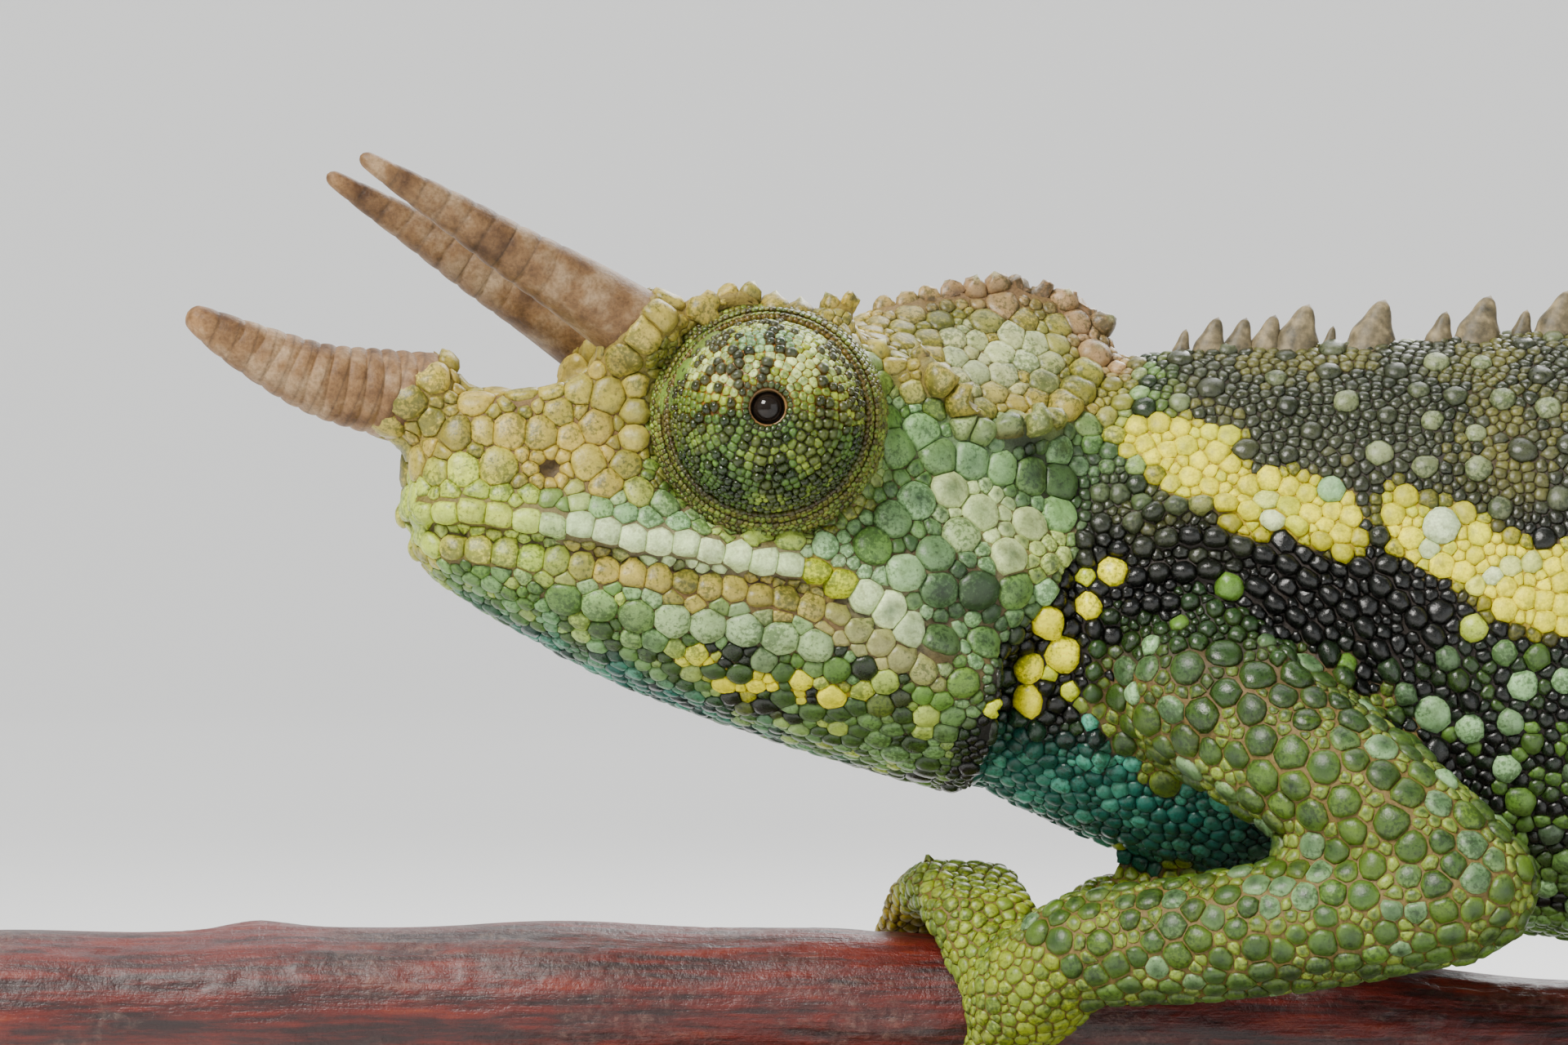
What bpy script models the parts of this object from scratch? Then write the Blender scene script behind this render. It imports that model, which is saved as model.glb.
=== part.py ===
"""A male three-horned chameleon, life size, gripping a short branch on a display stand.

Sizes are millimetres and become metres where a mesh is made. The origin is the middle of
the stand's underside, +X runs towards the tail, -Y is the animal's left side, +Z is up.
Heights in the tables are above the branch's axis, which the stand lifts off the floor.
"""

import math
from collections import namedtuple

import bmesh
import bpy
from mathutils import Matrix, Vector

MM = 0.001
WELD = 0.000001  # metres
GAP = 0.3  # between pieces that touch
LEFT, RIGHT = -1, 1  # the animal's sides, as a sign of Y

# How the head is held, about the top of the neck
HEAD_JOINT = Vector((-30.0, 0.0, 22.7))
HEAD_YAW = math.radians(15.0)  # it looks a little to its left
HEAD_ROLL = math.radians(5.0)

# The display stand
BASE_SIZE = Vector((118.0, 66.0, 6.0))
BASE_CORNER = 6.0
BASE_EDGE = 1.5
LIFT = 29.3  # the branch's axis above the floor
ROD_RADIUS = 2.0
ROD_PLACES = (-50.0, 18.0)

# The branch's axis, and its low knots as X, Y and Z off the axis and size
BRANCH_RADIUS = 4.3
Axis = namedtuple("Axis", "x z")
BRANCH = (
    Axis(-92.5, -0.4), Axis(-75.0, 0.0), Axis(-56.0, 0.1), Axis(-38.0, -0.1),
    Axis(-20.0, -1.4), Axis(0.0, -2.9), Axis(26.0, -3.6), Axis(53.5, -3.4),
)
BRANCH_KNOTS = ((-74.0, 1.0, 3.6, 1.1), (-10.0, -2.2, 2.6, 1.5), (47.5, 0.6, 2.9, 1.6))

# The trunk's sections along X
Girth = namedtuple("Girth", "x top bottom half_width")
TRUNK = (
    Girth(-38.0, 27.0, 13.5, 5.4),
    Girth(-33.0, 31.0, 10.6, 6.9),
    Girth(-28.0, 34.6, 8.4, 7.4),
    Girth(-22.0, 35.1, 6.4, 8.1),
    Girth(-10.0, 35.6, 4.4, 9.8),
    Girth(4.0, 36.6, 2.4, 11.2),
    Girth(18.0, 36.8, 1.9, 11.4),
    Girth(30.0, 35.2, 3.2, 10.6),
    Girth(40.0, 31.6, 6.4, 8.8),
    Girth(50.0, 26.2, 11.4, 6.2),
)
TRUNK_PARTS = (("neck", -38.0, -25.0, 4), ("chest", -25.0, 14.0, 8), ("loin", 14.0, 50.0, 8))
TRUNK_SIDES = 20
TRUNK_LENS = 1.18  # over 1 draws the back and the belly to an edge
BELLY_SWELL = 0.1  # how much wider the lower half is

# The crest: spines over the shoulder by X and height, then large and small by turns
CREST_FRONT = (
    (-23.9, 0.9), (-22.3, 1.5), (-20.8, 1.4), (-19.3, 1.5), (-17.6, 2.0), (-16.1, 0.8),
    (-13.6, 2.1), (-10.2, 1.3), (-8.0, 2.0),
)
CREST_REST = (-5.9, 48.0)
SPINE_HEIGHT = 2.0
SPINE_PITCH = 4.2  # from one large spine to the next
SPINE_SPREAD = 1.6  # a foot's width for a spine's height
SPINE_THICKNESS = 1.6
SPINE_ROOT = 0.9

# The head's sections from the snout back, in a frame that points straight ahead
Section = namedtuple("Section", "x top crown ridge side lip base")
HEAD = (
    Section(-35.6, 30.6, 0.1, (1.5, 30.0), (2.1, 27.6), (2.3, 25.6), 25.3),
    Section(-34.2, 32.8, 0.2, (2.8, 32.2), (3.5, 29.0), (3.8, 25.8), 25.0),
    Section(-31.0, 32.7, 0.2, (3.9, 32.3), (4.5, 29.5), (5.0, 25.2), 24.5),
    Section(-27.0, 31.9, -0.2, (5.0, 33.3), (5.4, 29.6), (6.3, 24.4), 23.7),
    Section(-22.0, 33.8, -0.3, (6.1, 36.2), (6.0, 30.5), (7.2, 23.5), 22.8),
    Section(-17.5, 35.0, -0.3, (6.5, 36.9), (6.2, 30.5), (7.9, 22.7), 22.0),
    Section(-13.0, 36.4, -0.2, (6.3, 35.4), (6.9, 29.5), (8.4, 21.8), 20.6),
    Section(-9.0, 37.4, -0.3, (6.7, 32.6), (7.2, 28.0), (8.7, 21.4), 19.0),
    Section(-5.0, 38.4, -0.5, (6.9, 29.9), (7.0, 27.0), (8.3, 21.8), 18.4),
    Section(-1.5, 38.4, -0.4, (5.6, 31.4), (5.8, 28.0), (6.6, 23.0), 20.0),
    Section(1.4, 37.2, -0.2, (3.7, 33.0), (4.0, 30.4), (4.0, 27.0), 25.6),
    Section(2.8, 35.8, 0.0, (1.8, 34.6), (2.0, 33.4), (1.8, 32.2), 31.8),
)
HEAD_STATIONS = 15

# The lower jaw below the head's own base, as half width and underside
Jaw = namedtuple("Jaw", "x half_width bottom")
LOWER_JAW = (
    Jaw(-35.3, 1.9, 24.0),
    Jaw(-34.2, 3.2, 22.6),
    Jaw(-32.5, 4.1, 21.4),
    Jaw(-29.3, 5.2, 19.6),
    Jaw(-24.8, 6.5, 17.3),
    Jaw(-20.3, 7.4, 15.6),
    Jaw(-15.0, 8.1, 13.8),
    Jaw(-10.0, 8.5, 12.3),
    Jaw(-6.0, 8.3, 11.2),
)
JAW_STATIONS = 9
JAW_INSET = 1.2  # how far its top runs into the head before it is cut back
JAW_LIP = 1.0  # its widest line, below the head's base

# Horns. Sag is how far the axis dips, fullness below 1 keeps the horn thick for longer.
Horn = namedtuple("Horn", "name base tip radius rings sag fullness")
HORNS = (
    Horn("horn_nose", (-34.6, 0.0, 32.1), (-46.8, 0.0, 36.5), 2.4, 11, 0.9, 0.6),
    Horn("horn_brow_left", (-24.0, -5.0, 35.1), (-38.8, -5.7, 43.9), 2.0, 14, 0.0, 0.8),
    Horn("horn_brow_right", (-23.8, 5.0, 35.5), (-38.4, 5.3, 44.5), 2.0, 14, 0.0, 0.8),
)
HORN_SIDES = 8
HORN_TIP = 0.16  # tip radius for base radius
HORN_ROOT = 0.9
COLLAR_SCUTES = 6
COLLAR_SCUTE = (1.4, 0.75, 1.5)

# Rows of knobs on the head: a line to follow, how many, and each one's half sizes
Row = namedtuple("Row", "line count size")
BROW = Row(
    ((-21.5, 6.0, 36.3), (-17.5, 6.3, 37.1), (-13.0, 6.2, 35.8), (-9.6, 6.8, 33.4)),
    6, (1.05, 0.75, 0.85),
)
CASQUE_EDGE = Row(
    (
        (-9.0, 6.9, 32.4), (-6.6, 7.1, 30.4), (-4.4, 6.9, 29.7), (-2.2, 6.0, 31.2),
        (-0.2, 4.9, 33.2), (1.6, 3.2, 35.4),
    ),
    7, (1.15, 0.7, 0.9),
)
CASQUE_CREST = Row(
    ((-9.6, 0.0, 36.8), (-6.5, 0.0, 37.8), (-3.0, 0.0, 38.2), (0.0, 0.0, 37.6), (2.2, 0.0, 36.1)),
    7, (0.95, 0.7, 0.8),
)

NOSTRIL = Vector((-29.0, 4.7, 28.0))
NOSTRIL_RADIUS = 0.55
NOSTRIL_RIM = (1.15, 0.75, 1.0)

# The eye turret as radius and height above the cheek, turned about an axis that faces the side
TURRET_CENTRE = Vector((-17.9, 6.4, 30.4))
TURRET_AXIS = Vector((-math.sin(HEAD_YAW), math.cos(HEAD_YAW), 0.03)).normalized()
TURRET = (
    (0.0, 4.5), (1.0, 4.5), (1.05, 5.3), (1.3, 5.45), (1.8, 5.3), (2.6, 5.0), (3.6, 4.4), (4.4, 3.5),
    (4.85, 2.7), (5.1, 2.2), (5.35, 2.3), (5.75, 2.0), (6.15, 1.3), (6.35, 0.3), (6.05, -0.8),
    (5.0, -2.2), (3.2, -3.4), (0.0, -3.4),
)
EYEBALL = ((0.0, 5.37), (0.25, 5.34), (0.5, 5.25), (0.7, 5.05), (0.68, 4.8), (0.0, 4.8))
TURRET_SIDES = 20
EYE_SIDES = 12

# Legs. Joints are X, outward Y and Z with a radius. Grip is where the foot holds the branch,
# and reach how far, in degrees, its upper toes go round.
Joint = namedtuple("Joint", "x out z radius")
Leg = namedtuple("Leg", "parts side root bend end grip reach")
FORE = ("upper_arm", "forearm", "forefoot")
HIND = ("thigh", "shin", "hindfoot")
LEGS = (
    Leg(
        FORE, LEFT, Joint(-24.0, 6.0, 17.4, 4.7), Joint(-10.6, 13.6, 7.2, 4.1), Joint(-30.0, 8.8, 3.7, 3.2),
        grip=-35.2, reach=122,
    ),
    Leg(
        FORE, RIGHT, Joint(-24.0, 6.0, 17.0, 4.7), Joint(-9.0, 13.0, 8.0, 4.0), Joint(-20.8, 8.4, 4.6, 3.1),
        grip=-25.6, reach=94,
    ),
    Leg(
        HIND, LEFT, Joint(37.0, 4.6, 16.0, 5.2), Joint(22.0, 14.2, 8.6, 4.2), Joint(36.4, 8.6, 1.0, 3.0),
        grip=40.4, reach=122,
    ),
    Leg(
        HIND, RIGHT, Joint(37.0, 4.6, 16.0, 5.2), Joint(16.0, 14.0, 9.4, 4.2), Joint(26.0, 8.4, 1.4, 3.0),
        grip=29.4, reach=122,
    ),
)
LIMB_SIDES = 10
LIMB_STATIONS = 7
PALM_RADII = (3.4, 3.3)

# Toes, in a bundle over the branch and one under it. Start and reach are degrees round the branch.
Bundle = namedtuple("Bundle", "fore_toes hind_toes sweep start lean")
OVER = Bundle(3, 2, 1, 22, 2.2)
UNDER = Bundle(2, 3, -1, -6, 1.4)
UNDER_REACH = 112
TOE_RADIUS = 2.0
TOE_TIP_RADIUS = 1.15
TOE_PITCH = 1.9
TOE_ARCH = 0.8  # how far a toe's middle stands off the bark
TOE_SIDES = 6
CLAW_LENGTH = 2.3
CLAW_RADIUS = 0.6

# The tail: a run back from the hips, then a coil that turns in under itself
TAIL_ROOT = Vector((49.0, 0.0, 19.2))
TAIL_BOW = 1.1
COIL_CENTRE = Vector((74.0, 0.0, -3.4))
COIL_START = math.radians(80.0)
COIL_TURNS = 1.62
COIL_RADIUS = 16.0
COIL_END_RADIUS = 4.6
TAIL_RADIUS = 5.4
TAIL_TIP_RADIUS = 0.7
TAIL_NARROW = 0.86  # width for height
HIP_FLARE = 1.9
TAIL_SIDES = 10
TAIL_STEPS = 50
TAIL_PARTS = (
    ("tail_root", 0.0, 0.24), ("tail_bend", 0.24, 0.46), ("tail_coil_low", 0.46, 0.66),
    ("tail_coil_high", 0.66, 0.84), ("tail_tip", 0.84, 1.0),
)

SHARP_ANGLE = math.radians(40)


def clear_scene():
    for obj in list(bpy.data.objects):
        bpy.data.objects.remove(obj, do_unlink=True)


def link(name, data):
    obj = bpy.data.objects.new(name, data)
    bpy.context.scene.collection.objects.link(obj)
    return obj


def material(name, colour, roughness, metallic=0.0):
    made = bpy.data.materials.new(name)
    made.use_nodes = True
    shader = made.node_tree.nodes["Principled BSDF"]
    shader.inputs["Base Color"].default_value = (*colour, 1.0)
    shader.inputs["Roughness"].default_value = roughness
    shader.inputs["Metallic"].default_value = metallic
    return made


def spaced(start, end, count):
    return [start + (end - start) * i / (count - 1) for i in range(count)]


def blend(before, start, end, after, t):
    """Catmull-Rom from start to end."""
    return 0.5 * (
        2 * start
        + (end - before) * t
        + (2 * before - 5 * start + 4 * end - after) * t * t
        + (3 * start - before - 3 * end + after) * t ** 3
    )


def flatten(row):
    values = []
    for value in row:
        values.extend(value if isinstance(value, tuple) else (value,))
    return values


def restore(like, values):
    values = iter(values)
    fields = [tuple(next(values) for _ in f) if isinstance(f, tuple) else next(values) for f in like]
    return type(like)(*fields)


def section_at(table, x):
    """The table's row at x, smooth through its rows."""
    rows = [flatten(row) for row in table]
    last = len(rows) - 1
    i = max(0, min(last - 1, sum(1 for row in rows if row[0] <= x) - 1))
    t = (x - rows[i][0]) / (rows[i + 1][0] - rows[i][0])
    around = zip(rows[max(0, i - 1)], rows[i], rows[i + 1], rows[min(last, i + 2)])
    return restore(table[0], [blend(*values, t) for values in around])


def smooth_path(points, count):
    """Points spread along a smooth curve through the given ones."""
    spans = len(points) - 1
    path = []
    for at in spaced(0, spans, count):
        i = min(spans - 1, int(at))
        path.append(blend(points[max(0, i - 1)], points[i], points[i + 1], points[min(spans, i + 2)], at - i))
    return path


def finish_mesh(mesh, name):
    """Turns a bmesh in millimetres into an object in metres."""
    bmesh.ops.scale(mesh, vec=(MM, MM, MM), verts=mesh.verts)
    bmesh.ops.recalc_face_normals(mesh, faces=mesh.faces)
    data = bpy.data.meshes.new(name)
    mesh.to_mesh(data)
    mesh.free()
    return link(name, data)


def evaluated_mesh(obj):
    graph = bpy.context.evaluated_depsgraph_get()
    return bpy.data.meshes.new_from_object(obj.evaluated_get(graph))


def solid(obj):
    """A closed mesh in place of a curve or of an object with a modifier."""
    name = obj.name
    data = evaluated_mesh(obj)
    bpy.data.objects.remove(obj, do_unlink=True)
    mesh = bmesh.new()
    mesh.from_mesh(data)
    bmesh.ops.remove_doubles(mesh, verts=mesh.verts, dist=WELD)
    bmesh.ops.recalc_face_normals(mesh, faces=mesh.faces)
    mesh.to_mesh(data)
    mesh.free()
    return link(name, data)


def tube(name, points, radii, sides):
    """A curve along a path, with a radius at each point."""
    curve = bpy.data.curves.new(name, "CURVE")
    curve.dimensions = "3D"
    curve.bevel_depth = MM
    curve.bevel_resolution = (sides - 4) // 2
    curve.use_fill_caps = True
    spline = curve.splines.new("POLY")
    spline.points.add(len(points) - 1)
    for target, point, radius in zip(spline.points, points, radii):
        target.co = (*(point * MM), 1.0)
        target.radius = radius
    return solid(link(name, curve))


def rounded(points, radii, steps=2):
    """Adds a domed end to each end of a tube."""
    angles = [math.pi / 2 * k / (steps + 0.35) for k in range(1, steps + 1)]
    ways = ((points[0] - points[1]).normalized(), (points[-1] - points[-2]).normalized())
    front, back = (
        [(points[end] + way * radii[end] * math.sin(a), radii[end] * math.cos(a)) for a in angles]
        for end, way in zip((0, -1), ways)
    )
    whole = front[::-1] + list(zip(points, radii)) + back
    return [point for point, _ in whole], [radius for _, radius in whole]


def turned(name, profile, origin, axis, sides):
    """A profile of radius and height, from the top down, turned about an axis."""
    mesh = bmesh.new()
    verts = [mesh.verts.new((radius * MM, 0, height * MM)) for radius, height in profile]
    for pair in zip(verts, verts[1:]):
        mesh.edges.new(pair)
    data = bpy.data.meshes.new(name)
    mesh.to_mesh(data)
    mesh.free()
    obj = link(name, data)
    screw = obj.modifiers.new("turn", "SCREW")
    screw.steps = screw.render_steps = sides
    screw.use_merge_vertices = True
    screw.merge_threshold = WELD
    made = solid(obj)
    turn = Vector((0, 0, 1)).rotation_difference(axis).to_matrix().to_4x4()
    made.data.transform(Matrix.Translation(origin * MM) @ turn)
    return made


def loft(name, rings):
    """A closed skin over rings of equal count, for sections that no modifier joins."""
    mesh = bmesh.new()
    loops = [[mesh.verts.new(point) for point in ring] for ring in rings]
    count = len(loops[0])
    for first, second in zip(loops, loops[1:]):
        for i in range(count):
            j = (i + 1) % count
            mesh.faces.new((first[i], first[j], second[j], second[i]))
    for loop, ring in ((loops[0], rings[0]), (loops[-1], rings[-1])):
        middle = mesh.verts.new(sum(ring, Vector()) / count)
        for i in range(count):
            mesh.faces.new((loop[i], loop[(i + 1) % count], middle))
    return finish_mesh(mesh, name)


def scute(place, size, turn=None):
    """A low rounded plate, to be half sunk in what it grows from."""
    mesh = bmesh.new()
    bmesh.ops.create_icosphere(mesh, subdivisions=1, radius=1.0)
    shape = Matrix.Diagonal((*size, 1.0))
    spin = turn.to_4x4() if turn else Matrix.Identity(4)
    bmesh.ops.transform(mesh, matrix=Matrix.Translation(place) @ spin @ shape, verts=mesh.verts)
    return finish_mesh(mesh, "scute")


def spine(foot, tip, width):
    """A flattened cone from its sunken foot to its tip."""
    mesh = bmesh.new()
    length = (tip - foot).length
    bmesh.ops.create_cone(
        mesh, cap_ends=True, cap_tris=True, segments=5, radius1=0.5, radius2=0.03, depth=length
    )
    bmesh.ops.translate(mesh, vec=(0, 0, length / 2), verts=mesh.verts)
    bmesh.ops.scale(mesh, vec=(width, SPINE_THICKNESS, 1.0), verts=mesh.verts)
    turn = Vector((0, 0, 1)).rotation_difference(tip - foot).to_matrix().to_4x4()
    bmesh.ops.transform(mesh, matrix=Matrix.Translation(foot) @ turn, verts=mesh.verts)
    return finish_mesh(mesh, "spine")


def combine(obj, others, operation):
    """Joins or cuts in one step, and removes the others.

    The exact solver leaves open edges where small scutes overlap, so this is the manifold one.
    """
    group = bpy.data.collections.new("operands")
    bpy.context.scene.collection.children.link(group)
    for other in others:
        bpy.context.scene.collection.objects.unlink(other)
        group.objects.link(other)
    boolean = obj.modifiers.new("combine", "BOOLEAN")
    boolean.operand_type = "COLLECTION"
    boolean.collection = group
    boolean.operation = operation
    boolean.solver = "MANIFOLD"
    data = evaluated_mesh(obj)
    obj.modifiers.clear()
    obj.data = data
    for other in others:
        bpy.data.objects.remove(other, do_unlink=True)
    bpy.data.collections.remove(group)
    keep_largest(obj)


def wedge(face):
    """The signed volume between a triangle and the origin."""
    a, b, c = (vert.co for vert in face.verts)
    return a.dot(b.cross(c)) / 6


def keep_largest(obj):
    """Keeps the closed surface that holds the most, which drops scraps and sealed hollows."""
    mesh = bmesh.new()
    mesh.from_mesh(obj.data)
    bmesh.ops.triangulate(mesh, faces=mesh.faces)
    left = set(mesh.faces)
    islands = []
    while left:
        island = [left.pop()]
        for face in island:
            for edge in face.edges:
                fresh = [other for other in edge.link_faces if other in left]
                left.difference_update(fresh)
                island.extend(fresh)
        islands.append(island)
    largest = max(islands, key=lambda island: sum(wedge(face) for face in island))
    for island in islands:
        if island is not largest:
            bmesh.ops.delete(mesh, geom=island, context="FACES")
    mesh.to_mesh(obj.data)
    mesh.free()


def grown(obj):
    """A copy with its surface moved out by the gap, to cut a piece that meets it."""
    mesh = bmesh.new()
    mesh.from_mesh(obj.data)
    mesh.normal_update()
    moves = [vert.normal * vert.calc_shell_factor() * GAP * MM for vert in mesh.verts]
    for vert, move in zip(mesh.verts, moves):
        vert.co += move
    data = bpy.data.meshes.new("cutter")
    mesh.to_mesh(data)
    mesh.free()
    return link("cutter", data)


def trim(obj, *neighbours):
    """Cuts a piece back so that it meets its neighbours face to face, a gap apart."""
    for neighbour in neighbours:
        combine(obj, [grown(neighbour)], "DIFFERENCE")


def trunk_ring(x):
    girth = section_at(TRUNK, x)
    middle = (girth.top + girth.bottom) / 2
    half_height = (girth.top - girth.bottom) / 2
    ring = []
    for k in range(TRUNK_SIDES):
        angle = math.tau * k / TRUNK_SIDES
        lens = math.copysign(abs(math.sin(angle)) ** TRUNK_LENS, math.sin(angle))
        width = girth.half_width * (1.0 - BELLY_SWELL * math.cos(angle))
        ring.append(Vector((x, width * lens, middle + half_height * math.cos(angle))))
    return ring


def make_trunk():
    pieces = []
    for name, start, end, stations in TRUNK_PARTS:
        xs = spaced(start + GAP / 2, end - GAP / 2, stations)
        pieces.append(loft(name, [trunk_ring(x) for x in xs]))
    return pieces


def crest():
    """Where each spine along the back stands, and its height."""
    spines = list(CREST_FRONT)
    start, end = CREST_REST
    x, small = start, True
    while x < end:
        fade = 1.0 - 0.5 * (x - start) / (end - start)
        spines.append((x, SPINE_HEIGHT * fade * (0.55 if small else 1.0)))
        x += SPINE_PITCH * (0.5 + 0.5 * fade) / 2
        small = not small
    return spines


def crest_spines(start, end):
    """The spines that stand between two places along the back, leaning to the rear."""
    made = []
    for x, height in crest():
        width = height * SPINE_SPREAD
        if start + width / 2 < x < end - width / 2:
            top = section_at(TRUNK, x).top
            foot = Vector((x - 0.2 * height, 0, top - SPINE_ROOT))
            tip = Vector((x + 0.2 * height, 0, top + height))
            made.append(spine(foot, tip, width))
    return made


def mirrored_ring(x, half):
    """A closed ring from the points of its right half, top to bottom."""
    ring = [Vector((x, y, z)) for y, z in half]
    return ring + [Vector((x, -y, z)) for y, z in reversed(half[1:-1])]


def head_ring(x):
    """Roof, brow ridge, temple, cheek and the swell of the upper lip."""
    s = section_at(HEAD, x)
    (ridge_y, ridge_z), (side_y, side_z), (lip_y, lip_z) = s.ridge, s.side, s.lip
    roof_z = (s.top + ridge_z) / 2 + s.crown
    eave = min(0.5, 0.25 * (ridge_z - side_z))
    swell = min(1.2, 0.35 * (side_z - lip_z))
    return mirrored_ring(x, [
        (0.0, s.top),
        (ridge_y * 0.28, (s.top + roof_z) / 2),
        (ridge_y * 0.5, roof_z),
        (ridge_y * 0.85, ridge_z),
        (ridge_y * 1.02, ridge_z - eave),
        (side_y * 0.35 + ridge_y * 0.65, ridge_z * 0.62 + side_z * 0.38),
        (side_y, side_z),
        (side_y * 0.45 + lip_y * 0.55, (side_z + lip_z) / 2),
        (lip_y + 0.15, lip_z + swell),
        (lip_y, lip_z),
        (lip_y * 0.93, (lip_z + s.base) / 2),
        (lip_y * 0.8, s.base),
        (0.0, s.base),
    ])


def jaw_ring(x):
    jaw = section_at(LOWER_JAW, x)
    base = section_at(HEAD, x).base
    lip = base - JAW_LIP
    return mirrored_ring(x, [
        (0.0, base + JAW_INSET),
        (jaw.half_width * 0.7, base + JAW_INSET),
        (jaw.half_width * 0.93, base),
        (jaw.half_width, lip),
        (jaw.half_width * 0.93, lip * 0.7 + jaw.bottom * 0.3),
        (jaw.half_width * 0.72, lip * 0.34 + jaw.bottom * 0.66),
        (jaw.half_width * 0.36, jaw.bottom + 0.35),
        (0.0, jaw.bottom),
    ])


def snout_stations(table, count):
    """Along the head, closer together at the snout, where the shape turns fastest."""
    start, end = table[0].x, table[-1].x
    return [start, start + 0.5, *spaced(start + 1.4, end - 0.5, count), end]


def horn(spec):
    """A ringed horn along a slightly bowed axis."""
    base, tip = Vector(spec.base), Vector(spec.tip)
    points = [base - (tip - base).normalized() * HORN_ROOT]
    radii = [spec.radius * 0.7]
    steps = spec.rings * 2 + 1
    for k in range(steps + 1):
        t = k / steps
        points.append(base.lerp(tip, t) - Vector((0, 0, spec.sag * math.sin(math.pi * t))))
        taper = (1.0 - t) ** spec.fullness * (1.0 - HORN_TIP) + HORN_TIP
        ripple = 0.055 if k % 2 else -0.03
        radii.append(spec.radius * taper * (1.0 + ripple * (0.06 < t < 0.95)))
    return tube(spec.name, points, radii, HORN_SIDES)


def horn_collar(spec):
    """The ring of large scutes that a horn grows out of."""
    base, tip = Vector(spec.base), Vector(spec.tip)
    axis = (tip - base).normalized()
    up = (Vector((0, 0, 1)) - axis * axis.z).normalized()
    across = axis.cross(up)
    scutes = []
    for k in range(COLLAR_SCUTES):
        angle = math.tau * k / COLLAR_SCUTES
        out = up * math.cos(angle) + across * math.sin(angle)
        along = across * math.cos(angle) - up * math.sin(angle)
        turn = Matrix((along, out, axis)).transposed()
        scutes.append(scute(base + axis * 1.2 + out * spec.radius * 0.9, COLLAR_SCUTE, turn))
    return scutes


def knobs(row, side, extra):
    made = []
    for k, place in enumerate(smooth_path([Vector(point) for point in row.line], row.count)):
        grow = 1.0 + 0.2 * math.sin(2.4 * k + 1.0)
        made.append(scute(Vector((place.x, place.y * side, place.z)), [s * grow + extra for s in row.size]))
    return made


def head_knobs(extra=0.0):
    """The rows of knobs along the brows, the casque's edge and its crest, larger by extra for a cutter."""
    rows = ((BROW, LEFT), (BROW, RIGHT), (CASQUE_EDGE, LEFT), (CASQUE_EDGE, RIGHT), (CASQUE_CREST, RIGHT))
    return [knob for row, side in rows for knob in knobs(row, side, extra)]


def sided(vector, side):
    """A place or a way given for the right side, on either side."""
    return Vector((vector.x, vector.y * side, vector.z))


def nostril(side):
    way = sided(Vector((-0.25, 1.0, 0.1)), side).normalized()
    profile = ((0, 1.6), (NOSTRIL_RADIUS, 1.6), (NOSTRIL_RADIUS, -0.5), (0, -0.5))
    return turned("nostril", profile, sided(NOSTRIL, side), way, 8)


def hold_head(piece):
    """Moves a piece from the head's own frame to the way the animal holds its head."""
    pivot = Vector((0.0, 0.0, HEAD_JOINT.z)) * MM
    turn = Matrix.Rotation(HEAD_YAW, 4, "Z") @ Matrix.Rotation(-HEAD_ROLL, 4, "X")
    piece.data.transform(Matrix.Translation(HEAD_JOINT * MM) @ turn @ Matrix.Translation(-pivot))


def make_head():
    """The head with its horns, jaw and eyes, and the cutters for what meets the head from behind."""
    head = loft("head", [head_ring(x) for x in snout_stations(HEAD, HEAD_STATIONS)])
    cutters = [grown(head), *head_knobs(GAP * 1.4)]
    raised = head_knobs() + [scute(sided(NOSTRIL, side), NOSTRIL_RIM) for side in (LEFT, RIGHT)]
    for spec in HORNS:
        raised += horn_collar(spec)
    combine(head, raised, "UNION")
    combine(head, [nostril(LEFT), nostril(RIGHT)], "DIFFERENCE")
    jaw = loft("lower_jaw", [jaw_ring(x) for x in snout_stations(LOWER_JAW, JAW_STATIONS)])
    horns = [horn(spec) for spec in HORNS]
    turrets, eyes = [], []
    for word, side in (("left", LEFT), ("right", RIGHT)):
        place = (sided(TURRET_CENTRE, side), sided(TURRET_AXIS, side))
        turrets.append(turned(f"eye_turret_{word}", TURRET, *place, TURRET_SIDES))
        eyes.append(turned(f"eye_{word}", EYEBALL, *place, EYE_SIDES))
    trim(head, *turrets, *horns)
    trim(jaw, head)
    for piece in (head, jaw, *horns, *turrets, *eyes, *cutters):
        hold_head(piece)
    return head, jaw, horns, turrets, eyes, cutters


def branch_axis(x):
    return Vector((x, 0.0, section_at(BRANCH, x).z))


def make_branch():
    xs = spaced(BRANCH[0].x, BRANCH[-1].x, 12)
    radii = [BRANCH_RADIUS * (1.0 + 0.03 * math.sin(0.19 * x) + 0.02 * math.sin(0.43 * x + 1.0)) for x in xs]
    branch = tube("branch", [branch_axis(x) for x in xs], radii, 16)
    knots = [
        scute(branch_axis(x) + Vector((0, y, z)), (3.4, 2.2, size)) for x, y, z, size in BRANCH_KNOTS
    ]
    combine(branch, knots, "UNION")
    return branch


def around_branch(x, angle, radius):
    """A point beside the branch. Angle 0 is its right side, and a quarter turn its top."""
    return branch_axis(x) + Vector((0, math.cos(angle), math.sin(angle))) * radius


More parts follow.
